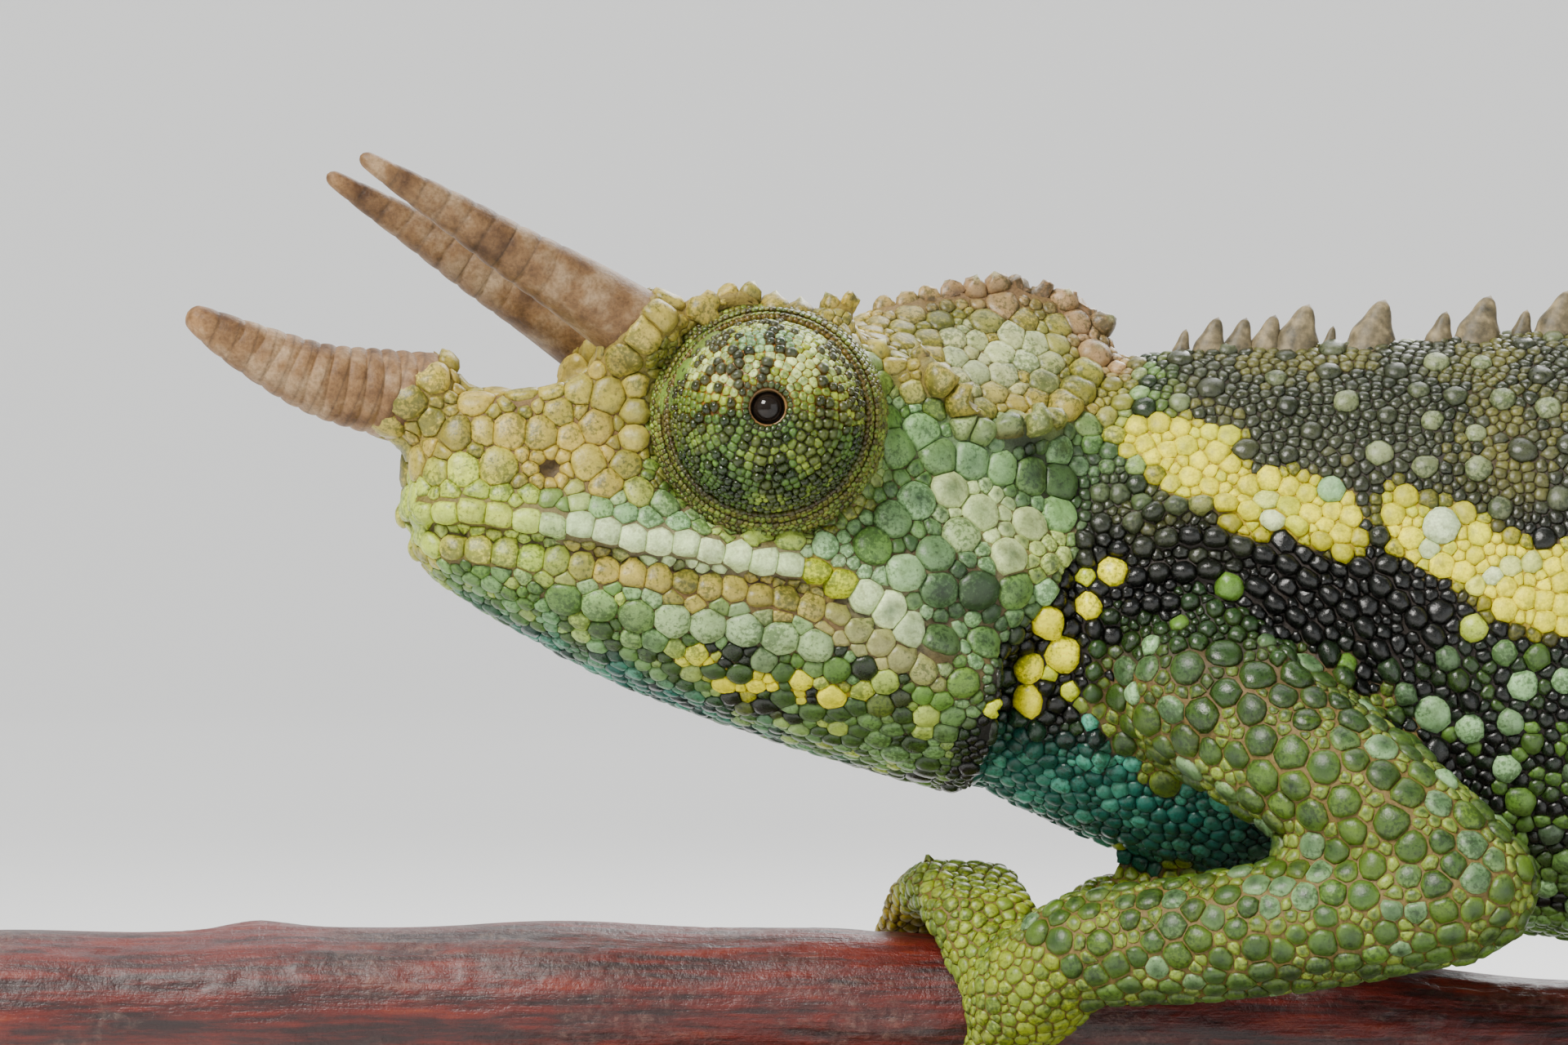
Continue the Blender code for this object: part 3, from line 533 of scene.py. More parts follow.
def inTurret(points, reach=6.25):
    # where the turrets and their rims cover the skin
    own = toHead(points)
    depth = (folded(own) - turret["centre"]) @ turret["axis"]
    return (turretOffset(own) < reach) & (depth > -0.9) & (points[:, 2] > 12) & (points[:, 0] < -20)


def onHorn(points):
    # where the skin runs up inside a horn
    own = toHead(points)
    found = np.zeros(len(points), bool)
    for horn in horns.values():
        along, away, limit, _ = hornChart(own, horn)
        found |= (along > limit + 0.1) & (away < horn["radius"] + 0.6)
    return found


def makeSkin():
    names = fleshNodes + [name for name in nodes if name.startswith(("eye_turret", "horn"))]
    flesh = copyOfNodes(names, skinSizes["grow"])
    data = withModifier(flesh, "REMESH", mode="VOXEL", voxel_size=skinSizes["voxel"], adaptivity=0.0)
    points = readArray(data.vertices, "co", 3)
    quads = readArray(data.loops, "vertex_index", 1, np.int32).reshape(-1, 4)
    links = readArray(data.edges, "vertices", 2, np.int32)
    owner = nearestNodes(points)
    isTrunk = partMask(owner, *trunkWords)
    top = lineAt(trunkTop, points[:, 0]) + skinSizes["grow"] - 0.02 * points[:, 1] ** 2
    points[:, 2] = np.where(isTrunk & (points[:, 0] > -26), np.minimum(points[:, 2], top), points[:, 2])
    points = evened(points, links, skinSizes["allRounds"])
    points = evened(points, links, skinSizes["knobRounds"], knobZone(points))
    points = evened(points, links, skinSizes["ledgeRounds"], ledgeZone(points))
    normals = vertexNormals(points, quads)
    points -= normals * (skinSizes["grow"] + skinSizes["depth"])
    isHead = partMask(owner, *headWords)
    points = sheathed(underTurrets(points))
    u, v = chart(points, isHead)
    below = (v - lineAt(mouthLine, u)) * shot["pixel"]
    along = ramp(u, 470, 500) * (1 - ramp(u, 1150, 1210)) * isHead
    groove = np.exp(-(below / skinSizes["mouthWidth"]) ** 2) * -skinSizes["mouthDepth"]
    lip = np.exp(-((below + 1.0) / 0.6) ** 2) * skinSizes["lipHeight"]
    folds = foldHeight(points, owner)
    near = np.exp(-((np.abs(u - 1520) / 190) ** 4)) * ramp(v, 560, 620) * (1 - ramp(v, 860, 960)) * ~isHead
    shift = (groove + lip) * along + folds * skinSizes["foldDepth"]
    shift -= (1 - folds) * near * skinSizes["neckHollow"]
    for pit in nostrils():
        shift -= nostril["depth"] * np.exp(-(np.linalg.norm(points - pit, axis=1) / nostril["radius"]) ** 2)
    points += normals * shift[:, None]
    points = evened(points, links, 1)
    data.vertices.foreach_set("co", points.ravel())
    data.update()
    return data, points, quads, owner


skinData, skinPoints, skinQuads, skinOwner = makeSkin()
skinNormals = vertexNormals(skinPoints, skinQuads)
skinTree = BVHTree.FromPolygons(skinPoints.tolist(), skinQuads.tolist())
print("skin:", len(skinQuads), "quads")


def settle(points):
    # the nearest places on the skin, with their normals and nodes
    found = [skinTree.find_nearest(point) for point in points]
    places = np.array([f[0] for f in found])
    faces = np.array([f[2] for f in found])
    return places, unit(skinNormals[skinQuads[faces]].sum(axis=1)), skinOwner[skinQuads[faces, 0]]


def pinned(pixels, onHead=True):
    # the places on the skin that the photograph's pixels show, and their like on the other side
    found = []
    for target in onPlane(pixels):
        hit = skinTree.ray_cast(Vector(shot["eye"]), Vector(target - shot["eye"]))[0]
        if hit:
            found.append(hit)
    near = np.array(found)
    far = fromHead(toHead(near) * [1, -1, 1]) if onHead else near * [1, -1, 1]
    return near, settle(far)[0]


# Markings

def blob(u, v, middle, size, tilt=0.0):
    # a soft spot on the chart, 1 in its middle. Size is in pixels and tilt in degrees.
    turn = math.radians(tilt)
    across, down = u - middle[0], v - middle[1]
    a = (across * math.cos(turn) + down * math.sin(turn)) / size[0]
    b = (down * math.cos(turn) - across * math.sin(turn)) / size[1]
    return 1 - ramp(np.sqrt(a * a + b * b), 0.7, 1.15)


class Coat:
    # colours built up in layers, one for each scale
    def __init__(self, count, first):
        self.colour = np.tile(paints[first], (count, 1))

    def lay(self, name, share):
        share = np.clip(share, 0, 1)[:, None]
        self.colour = self.colour * (1 - share) + paints[name] * share


# where the cheek ends: pixels down, and across
cheekEdge = (
    (480, 1390), (560, 1352), (620, 1330), (690, 1296), (760, 1236), (830, 1196), (900, 1160), (1000, 1130),
)
# the yellow patches along the body: middle, size and tilt
yellowPatches = (
    ((1470, 560), (105, 46), 24), ((1585, 622), (105, 50), 22), ((1790, 665), (110, 50), 30),
    ((1900, 715), (130, 58), 12), ((2230, 770), (170, 50), 12), ((2580, 830), (130, 40), 8),
)


def markings(points, owner, chance, large):
    # each scale's colour, the colour of its crown, and its roughness
    isHead = partMask(owner, *headWords)
    isTrunk = partMask(owner, *trunkWords)
    isArm = partMask(owner, "upper", "thigh")
    isLimb = partMask(owner, "upper", "forearm", "thigh", "shin")
    isHand = partMask(owner, "forefoot", "hindfoot")
    isTail = partMask(owner, "tail")
    u, v = chart(points, isHead)
    u = u + (cloud(points, 2.0, 5) - 0.5) * 30
    v = v + (cloud(points, 2.0, 6) - 0.5) * 30
    below = v - lineAt(mouthLine, u)
    patch = cloud(points, 3.6, 1)
    fine = cloud(points, 1.3, 2)
    coat = Coat(len(points), "slate")
    lay = coat.lay
    onNeck = ramp(u - lineAt(cheekEdge, v), -14, 22) * (isHead | isTrunk)
    onHead = (isHead | (isTrunk & (u < 1420))) * (1 - onNeck)
    # back, neck and flank
    low = ramp(v + (fine - 0.5) * 90, 560, 700)
    lay("lichen", isTrunk * large * ramp(chance, 0.3, 0.7) * (1 - low) * 0.85)
    loose = (chance - 0.5) * 0.4
    lay("olive", isTrunk * (1 - large) * (1 - low) * ramp(patch + loose, 0.5, 0.75) * 0.4)
    lay("night", onNeck * low)
    lay("deep", onNeck * low * ramp(chance, 0.45, 0.9) * ramp(v, 760, 860) * 0.8)
    nape = onNeck * (1 - ramp(u, 1400, 1470)) * (1 - ramp(v, 570, 640))
    lay("deep", nape * 0.7)
    lay("leaf", nape * ramp(chance, 0.35, 0.7) * 0.7)
    lay("mint", nape * ramp(u, 1350, 1400) * (1 - ramp(u, 1400, 1430)) * ramp(chance, 0.5, 0.8) * 0.6)
    flank = isTrunk * ramp(v + (u - 1800) * 0.5, 760, 860) * ramp(u, 1640, 1760)
    lay("mint", flank * large * ramp(chance, 0.2, 0.5) * 0.9)
    lay("leaf", flank * large * ramp(fine, 0.55, 0.7) * 0.8)
    lay("leaf", flank * (1 - large) * ramp(chance, 0.6, 0.8) * ramp(v, 780, 900) * 0.8)
    rear = isTrunk * ramp(u, 2050, 2300)
    lay("leaf", rear * ramp(patch + loose, 0.5, 0.7) * 0.6)
    lay("leaf", rear * large * 0.5)
    lay("mint", rear * large * ramp(chance, 0.6, 0.8) * 0.6)
    belly = isTrunk * ramp(v, 1020, 1090)
    lay("leaf", belly * ramp(fine, 0.4, 0.6) * 0.6)
    lay("teal", isTrunk * (1 - ramp(u, 1500, 1600)) * ramp(v + (1300 - u) * 0.1, 880, 930) * 0.9)
    lay("aqua", isTrunk * (1 - ramp(u, 1500, 1600)) * ramp(v, 890, 940) * ramp(chance, 0.55, 0.8) * 0.6)
    yellow = np.max([blob(u, v, *spot) for spot in yellowPatches], axis=0) * isTrunk
    lay("sun", yellow * ramp(chance + yellow, 0.45, 0.75))
    lay("spring", yellow * ramp(chance, 0.62, 0.85) * 0.7)
    lay("frost", yellow * large * ramp(chance, 0.86, 0.95) * 0.8)
    # limbs and tail, running out into the trunk
    tailShare = ramp(points[:, 0] + (chance - 0.5) * 8, 42, 58) * (isTail | isTrunk)
    lay("arm", np.maximum(isLimb, tailShare))
    lay("hand", isLimb * ramp(chance, 0.4, 0.9) * 0.5)
    lay("leaf", isLimb * ramp(patch + loose, 0.45, 0.7) * 0.45)
    lay("deep", isArm * ramp(v + fine * 60, 1000, 800) * 0.85)
    lay("night", isArm * ramp(v + fine * 60 + loose * 60, 830, 740) * 0.8)
    lay("deep", partMask(owner, "thigh") * ramp(points[:, 2] + loose * 8, 6, 14) * 0.85)
    lay("leaf", partMask(owner, "thigh") * large * ramp(chance, 0.4, 0.7) * 0.6)
    lay("mint", isLimb * large * ramp(chance, 0.8, 0.92) * 0.8)
    lay("lime", isLimb * (1 - large) * 0.45 * np.where(isArm, ramp(v + fine * 60, 800, 940), 1))
    lay("hand", isHand * 1.0)
    lay("leaf", isHand * ramp(chance, 0.5, 0.9) * 0.4)
    lay("mustard", isHand * ramp(points[:, 1], 0, 3) * ramp(points[:, 2], 1, 5) * (points[:, 0] < 0) * 0.85)
    bands = ramp(np.sin(points[:, 0] * 0.42 + points[:, 2] * 0.3) + (fine - 0.5) + loose, 0.0, 0.6)
    lay("deep", tailShare * bands * 0.75)
    lay("mint", tailShare * large * ramp(chance, 0.7, 0.9) * 0.5)
    # head: green first, then the snout, brow, casque and cheek
    lay("leaf", onHead)
    lay("mint", onHead * ramp(chance, 0.3, 0.7) * 0.7)
    snout = onHead * (1 - ramp(u, 770, 850)) * (1 - ramp(below, -78, -52))
    lay("ochre", snout)
    lay("olive", snout * ramp(chance, 0.4, 0.9) * 0.5)
    lay("lime", snout * ramp(below, -130, -70) * ramp(chance, 0.3, 0.6) * 0.45)
    darkSpot = ramp(cloud(points, 0.9, 14), 0.55, 0.75)
    lay("olive", snout * darkSpot * 0.55)
    browFoot = v - np.clip(u - 1060, 0, 100) * 0.9
    brow = onHead * (1 - ramp(browFoot, 405, 440)) * ramp(u, 740, 800) * (1 - ramp(u, 1090, 1160))
    lay("ochre", brow)
    lay("tan", brow * ramp(chance, 0.5, 0.8) * 0.7)
    orbit = onHead * inTurret(points, 6.75) * (1 - brow * 0.8)
    lay("olive", orbit * 0.7)
    lay("leaf", orbit * ramp(chance, 0.4, 0.7) * 0.7)
    casqueFoot = v - np.clip(u - 1130, 0, 80) * 0.6
    casque = onHead * ramp(u + (v - 420) * 0.2, 1078, 1112) * (1 - ramp(casqueFoot, 462, 500))
    lay("olive", casque)
    lay("ochre", casque * ramp(fine, 0.4, 0.7) * 0.6)
    lay("frost", casque * blob(u, v, (1225, 430), (85, 46)) * ramp(chance, 0.15, 0.5) * 0.5)
    ridge = 1 - ramp(v - np.clip(u - 1300, 0, 60) * 1.5, 350, 385)
    lay("clay", onHead * ridge * ramp(u, 1040, 1100) * 0.85)
    temple = onHead * ramp(u, 1060, 1100) * ramp(v, 500, 540) * (1 - ramp(below, -30, 10))
    lay("mint", temple * 0.75)
    lay("leaf", temple * ramp(cloud(points, 1.7, 8), 0.48, 0.7) * 0.75)
    lay("deep", temple * ramp(cloud(points, 1.5, 9), 0.6, 0.75) * 0.7)
    lay("cream", onHead * blob(u, v, (1195, 628), (88, 30), 44) * (0.75 + 0.25 * chance))
    lay("cream", onHead * blob(u, v, (1262, 672), (54, 34), 20) * 0.85)
    lay("frost", onHead * blob(u, v, (1066, 720), (84, 36), 38) * 0.95)
    lay("lime", onHead * blob(u, v, (1276, 690), (40, 50), 30) * 0.6)
    # painted shadow under the back of the casque: slate and dark green scales where its edge shades the head
    shade = (onHead + nape > 0) * blob(u, v, (1312, 572), (92, 66), 30) * (1 - casque)
    lay("slate", shade * ramp(chance, 0.1, 0.5) * (0.8 - 0.5 * large))
    lay("deep", shade * ramp(fine, 0.4, 0.7) * (0.6 - 0.4 * large))
    # lips
    upper = onHead * ramp(below, -80, -64) * (1 - ramp(below, -4, 4)) * (1 - ramp(u, 1110, 1160))
    lay("lime", upper * (1 - ramp(u, 620, 760)))
    lay("ochre", upper * (1 - ramp(u, 560, 640)) * ramp(chance, 0.4, 0.8) * 0.5)
    lay("mint", upper * ramp(u, 640, 800) * 0.85)
    lay("leaf", upper * ramp(u, 620, 700) * ramp(chance, 0.6, 0.85) * 0.6)
    lay("frost", upper * ramp(below, -48, -36) * ramp(u, 600, 820) * (0.5 + 0.5 * chance))
    lay("cream", upper * ramp(below, -48, -36) * ramp(u, 600, 820) * 0.4)
    lay("spring", onHead * blob(u, v, (1006, 706), (40, 20), 14))
    lay("lime", onHead * blob(u, v, (930, 652), (70, 14), 8) * 0.7)
    lower = onHead * ramp(below, -2, 4) * (1 - ramp(below, 36, 46)) * (1 - ramp(u, 1100, 1180))
    lay("lime", lower * (1 - ramp(u, 620, 720)) * 0.9)
    lay("tan", lower * ramp(u, 640, 760))
    lay("ochre", lower * ramp(chance, 0.5, 0.8) * 0.6)
    lay("olive", lower * ramp(fine, 0.45, 0.7) * 0.5)
    lay("lichen", lower * ramp(u, 940, 1060) * 0.6)
    # lower jaw and throat
    jaw = onHead * ramp(below, 40, 52)
    lay("leaf", jaw)
    lay("mint", jaw * ramp(chance, 0.45, 0.7) * 0.4)
    lay("lime", jaw * ramp(chance, 0.8, 0.9) * 0.7)
    paleRow = large * blob(u, v, (940, 768), (170, 34), 8)
    lay("deep", jaw * ramp(below, 62, 110) * (1 - ramp(chance, 0.4, 0.62)) * (1 - paleRow) * 0.72)
    lay("frost", jaw * paleRow * 0.35)
    speckled = 1 - ramp(cloud(points, 1.4, 10) + chance * 0.25, 0.46, 0.6)
    lay("night", jaw * speckled * ramp(v + (u - 900) * 0.1, 750, 800) * (1 - paleRow) * 0.9)
    lay("aqua", jaw * (1 - ramp(u, 640, 760)) * ramp(below, 70, 110) * ramp(chance, 0.3, 0.5) * 0.7)
    lay("sun", jaw * blob(u, v, (965, 842), (160, 18), 13) * ramp(chance, 0.4, 0.5))
    throat = onHead * ramp(v + (900 - u) * 0.46, 862, 900)
    lay("teal", throat)
    lay("aqua", throat * ramp(chance, 0.5, 0.8) * 0.75)
    lay("night", throat * (1 - ramp(chance, 0.1, 0.25)) * 0.8)
    colour = coat.colour * (0.72 + 0.5 * rng.permutation(chance))[:, None]
    # crowns: limbs and cheeks are darker there, with a brighter rim
    heart = coat.colour * (1 - 0.22 * onHead * ramp(cloud(points, 0.8, 15), 0.45, 0.7))[:, None]
    darker = (isLimb * 0.9 + temple * 0.85 + (flank + isTail) * 0.3) * ramp(chance, 0.0, 0.5)
    darker = np.clip(darker, 0, 1)[:, None]
    heart = heart * (1 - darker) + (paints["armHeart"] * 0.6) * darker
    heart = heart * (0.8 + 0.45 * rng.permutation(chance))[:, None]
    dark = colour.sum(axis=1) < 0.14
    clean = np.maximum(yellow, ramp(coat.colour.sum(axis=1), 1.3, 1.6))
    return colour, heart, np.where(dark, 0.3, 0.4 + 0.14 * clean)


# Scales

scaleSizes = {
    "overlap": 1.045, "limbOverlap": 0.975, "cap": 1.9, "corner": 22.0, "patch": 0.0015,
    "rowGap": 0.6, "rowClear": 0.9, "loose": 0.84, "smallGap": 0.85, "foldSpacing": 1.28,
    "lowFoldSpacing": 1.1,
}

# the large scales' radius and distance apart, the small ones' radius, and how domed both are
scaleRegions = {
    "back": (0.6, 2.0, 0.31, 0.55), "flank": (0.66, 1.75, 0.36, 0.6), "shoulder": (0.48, 0.86, 0.3, 0.75),
    "yellow": (0.56, 0.9, 0.32, 0.42), "belly": (0.46, 0.76, 0.3, 0.45), "upperArm": (0.84, 1.32, 0.38, 0.42),
    "forearm": (0.68, 1.08, 0.38, 0.42), "hand": (0.43, 0.68, 0.28, 0.4), "tail": (0.56, 0.94, 0.32, 0.42),
    "tailEnd": (0.38, 0.62, 0.26, 0.4), "head": (0.66, 1.04, 0.34, 0.34), "snout": (0.84, 1.26, 0.4, 0.3),
    "cheek": (0.94, 1.42, 0.42, 0.38), "casque": (0.74, 1.16, 0.36, 0.32), "jaw": (0.62, 0.98, 0.34, 0.4),
    "throat": (0.46, 0.76, 0.28, 0.5), "orbit": (0.28, 0.44, 0.22, 0.5), "nape": (0.5, 0.9, 0.32, 0.55),
}


def regionSizes(points, owner):
    isHead = partMask(owner, *headWords)
    isTrunk = partMask(owner, *trunkWords)
    u, v = chart(points, isHead)
    below = v - lineAt(mouthLine, u)
    sizes = np.tile(np.array(scaleRegions["back"]), (len(points), 1))

    def use(name, mask):
        sizes[mask] = scaleRegions[name]

    use("flank", isTrunk & (v > 740) & (u > 1640))
    use("nape", isTrunk & (u < 1420))
    cheekEnd = lineAt(cheekEdge, v)
    use("shoulder", (isTrunk | isHead) & (u > 1220) & (u < 1720) & (v > 640) & (v < 960) & (u > cheekEnd))
    use("yellow", isTrunk & (np.max([blob(u, v, *spot) for spot in yellowPatches], axis=0) > 0.5))
    use("belly", isTrunk & (points[:, 2] < 5))
    use("throat", isTrunk & (u < 1500) & (v > 880))
    use("upperArm", partMask(owner, "upper", "thigh"))
    use("forearm", partMask(owner, "forearm", "shin"))
    use("shoulder", partMask(owner, "upper") & (v < 790) & (u < 1600))
    use("hand", partMask(owner, "forefoot", "hindfoot"))
    use("tail", partMask(owner, "tail"))
    use("tailEnd", partMask(owner, "tail_tip", "tail_coil_high"))
    front = isHead & (u < cheekEnd)
    use("head", front)
    use("snout", front & (u < 790))
    use("casque", front & (u > 1080) & (v < 480))
    use("cheek", front & (u > 1020) & (v > 530))
    use("jaw", front & (below > 30))
    use("throat", front & (v + (900 - u) * 0.46 > 850))
    use("orbit", isHead & inTurret(points, 6.6))
    return sizes


class Crowd:
    # scales that stand clear of each other, found through a grid of boxes
    def __init__(self, box):
        self.box = box
        self.cells = {}

    def isClear(self, place, reach):
        x, y, z = place
        i, j, k = int(x // self.box), int(y // self.box), int(z // self.box)
        for a in (i - 1, i, i + 1):
            for b in (j - 1, j, j + 1):
                for c in (k - 1, k, k + 1):
                    for px, py, pz, other in self.cells.get((a, b, c), ()):
                        clear = reach + other
                        if (px - x) ** 2 + (py - y) ** 2 + (pz - z) ** 2 < clear * clear:
                            return False
        return True

    def put(self, place, reach):
        x, y, z = place
        cell = int(x // self.box), int(y // self.box), int(z // self.box)
        self.cells.setdefault(cell, []).append((x, y, z, reach))


def throwPoints(density):
    # random places on the skin. Density is how many for each square millimetre at each quad.
    corners = skinPoints[skinQuads]
    area = np.linalg.norm(np.cross(corners[:, 2] - corners[:, 0], corners[:, 3] - corners[:, 1]), axis=1) / 2
    faces = np.repeat(np.arange(len(skinQuads)), rng.poisson(area * density))
    rng.shuffle(faces)
    s, t = rng.random(len(faces))[:, None], rng.random(len(faces))[:, None]
    c = corners[faces]
    return (c[:, 0] * (1 - s) + c[:, 1] * s) * (1 - t) + (c[:, 3] * (1 - s) + c[:, 2] * s) * t, faces


def alongMouth(start, end, shift):
    # a line beside the mouth's, so many pixels below it
    return [(x, float(lineAt(mouthLine, x)) + shift) for x in np.linspace(start, end, 24)]


# rows that the eye follows, in the photograph's pixels: line, spacing, radius, rise, peak
headRows = (
    (alongMouth(514, 1000, -22), 1.36, 0.86, 0.34, 0.0),
    (alongMouth(1030, 1116, -19), 1.5, 0.92, 0.36, 0.0),
    (alongMouth(520, 860, -54), 1.3, 0.46, 0.4, 0.0),
    (alongMouth(524, 1130, 19), 1.34, 0.76, 0.34, 0.0),
    (alongMouth(560, 1080, 44), 1.15, 0.36, 0.4, 0.0),
    (alongMouth(690, 1000, 66), 1.86, 0.92, 0.36, 0.0),
    (((742, 588), (790, 606), (840, 628), (900, 648), (960, 662), (1010, 668)), 1.62, 0.72, 0.4, 0.0),
    (((1180, 520), (1202, 530)), 1.6, 0.7, 0.7, 0.2),
    (((782, 440), (780, 470), (778, 504), (776, 536)), 1.4, 0.78, 0.55, 0.2),
    (((1162, 598), (1150, 560), (1130, 530)), 1.9, 0.98, 0.5, 0.0),
    (((1068, 668), (1090, 640), (1120, 612)), 1.9, 1.0, 0.5, 0.0),
    (((1112, 700), (1170, 664), (1200, 630)), 1.9, 0.98, 0.46, 0.0),
)
# single scales that stand out on the neck and shoulder: pixel, radius, paint
accents = (
    ((1363, 700), 0.77, "sun"), ((1333, 742), 0.72, "sun"), ((1283, 762), 0.90, "sun"),
    ((1303, 802), 0.97, "sun"), ((1260, 817), 0.84, "sun"), ((1260, 858), 0.87, "sun"),
    ((1329, 706), 0.46, "spring"), ((1285, 826), 0.44, "spring"), ((1310, 846), 0.5, "spring"),
    ((1216, 868), 0.48, "spring"), ((1505, 720), 0.76, "leaf"), ((1410, 790), 0.56, "mint"),
    ((1445, 765), 0.56, "leaf"), ((1388, 850), 0.58, "mint"), ((1333, 885), 0.46, "aqua"),
    ((1650, 812), 0.52, "leaf"), ((1805, 770), 0.7, "lime"), ((1865, 840), 0.74, "mint"),
    ((1800, 893), 0.72, "mint"), ((1770, 955), 0.69, "mint"), ((1845, 940), 0.69, "mint"),
    ((1765, 645), 0.96, "frost"), ((1630, 600), 0.7, "mint"), ((1280, 725), 0.67, "mint"),
)


def guidedScales():
    # place, radius, rise, peak and paint of the scales that stand in rows
    found = []

    def add(places, radius, rise, peak, name=None):
        found.extend((tuple(place), radius, rise, peak, name) for place in places)

    for pit in nostrils():
        add(settle([pit])[0], nostril["radius"], 0.3, 0.0, "pit")
        for k in range(nostril["scales"]):
            angle = k * math.tau / nostril["scales"]
            ring = pit + np.array([math.cos(angle), 0.0, math.sin(angle)]) * nostril["ring"]
            add(settle([ring])[0], nostril["scaleRadius"], 0.75, 0.0, "ochre")
    for pixel, radius, name in accents:
        for side in pinned([pixel], False):
            add(side, radius, 0.6, 0.0, name)
    for horn in horns.values():
        foot, ahead, up = hornAxes(horn)
        across = np.cross(ahead, up)
        # the sheath's rim and the ring below it: scales, first one's turn, place, way out, radius and slant
        for count, first, start, out, size, slant in (
            (8, 0.5, 0.0, 0.1, 0.98, horn["slant"]), (9, 0.0, -1.9, 0.9, 0.9, 0.0)
        ):
            for k in range(count):
                angle = (k + first) * math.tau / count
                along = start + slant * (0.5 - math.cos(angle))
                around = up * math.cos(angle) + across * math.sin(angle)
                ring = foot + ahead * along + around * (horn["radius"] + out)
                add(settle([fromHead(ring)])[0], size, 0.34, 0.0)
    for pixels, spacing, radius, rise, peak in headRows:
        for side in pinned(spread(pixels, spacing / shot["pixel"])):
            add(side, radius, rise, peak)
    for line, (spacing, radius, rise, peak) in zip(knobLines, knobSizes):
        for side in ((-1, 1) if line[0][1] else (1,)):
            add(settle(fromHead(spread(line, spacing) * [1, side, 1]))[0], radius, rise, peak)
    for k, line in enumerate(foldLines):
        isHigh = k < 3
        spacing = scaleSizes["foldSpacing"] if isHigh else scaleSizes["lowFoldSpacing"]
        for side in pinned(spread(line, spacing / shot["pixel"]), False):
            sizes = 0.5 + 0.18 * cloud(side, 2.4, 20) * isHigh
            for place, size in zip(side, sizes):
                add([place], float(size), 0.8, 0.0)
    return found


def scatterScales():
    # scales in rows first, then large ones by their spacing, then small ones between them
    rows, wide, big, tiny = Crowd(1.4), Crowd(2.2), Crowd(2.0), Crowd(0.8)
    rowGap, rowClear, loose = scaleSizes["rowGap"], scaleSizes["rowClear"], scaleSizes["loose"]
    kept = []
    for place, radius, rise, peak, name in guidedScales():
        if rows.isClear(place, radius * rowGap):
            rows.put(place, radius * rowGap)
            big.put(place, radius * rowClear)
            wide.put(place, radius * rowClear)
            kept.append((place, radius, rise, peak, True, name))
    for pit in nostrils():
        big.put(pit, nostril["clear"])
        wide.put(pit, nostril["clear"])
    faceMiddles = skinPoints[skinQuads].mean(axis=1)
    sizes = regionSizes(faceMiddles, skinOwner[skinQuads[:, 0]])
    covered = inTurret(faceMiddles) | onHorn(faceMiddles)
    spots, faces = throwPoints(6 / sizes[:, 1] ** 2 * ~covered)
    for place, face, chance in zip(spots.tolist(), faces, rng.random(len(faces))):
        radius, spacing, _, rise = sizes[face]
        shift = loose + 0.34 * chance
        if wide.isClear(place, spacing / 2 * shift):
            wide.put(place, spacing / 2 * shift)
            big.put(place, radius * shift * loose)
            kept.append((tuple(place), radius * shift, rise, 0.0, True, None))
    spots, faces = throwPoints(4.0 / sizes[:, 2] ** 2 * ~covered)
    for place, face, chance in zip(spots.tolist(), faces, rng.random(len(faces))):
        radius = sizes[face, 2] * (0.8 + 0.36 * chance)
        if big.isClear(place, radius * scaleSizes["smallGap"]) and tiny.isClear(place, radius * loose):
            tiny.put(place, radius * loose)
            kept.append((tuple(place), radius, max(0.5, sizes[face, 3]), 0.0, False, None))
    names = [item[5] for item in kept]
    return [np.array([item[k] for item in kept]) for k in range(5)] + [names]


def neighboursOf(places, count):
    tree = KDTree(len(places))
    for index, place in enumerate(places):
        tree.insert(place, index)
    tree.balance()
    found = np.full((len(places), count), -1)
    for index, place in enumerate(places):
        near = [item[1] for item in tree.find_n(place, count + 1) if item[1] != index][:count]
        found[index, :len(near)] = near
    return found


def spaceOut(places, radii, rounds, fixed):
    # nudges scales apart where they crowd, and into the gaps
    for _ in range(rounds):
        near = neighboursOf(places, 7)
        gap = places[:, None] - places[near]
        distance = np.maximum(np.linalg.norm(gap, axis=2), 1e-6)
        wanted = (radii[:, None] + radii[near]) * 1.02
        push = (np.clip(wanted - distance, -0.05, 1) * 0.4 / distance)[:, :, None] * gap
        move = np.clip(push.sum(axis=1), -0.12, 0.12)
        places = settle(np.where(fixed[:, None], places, places + move))[0]
    return places


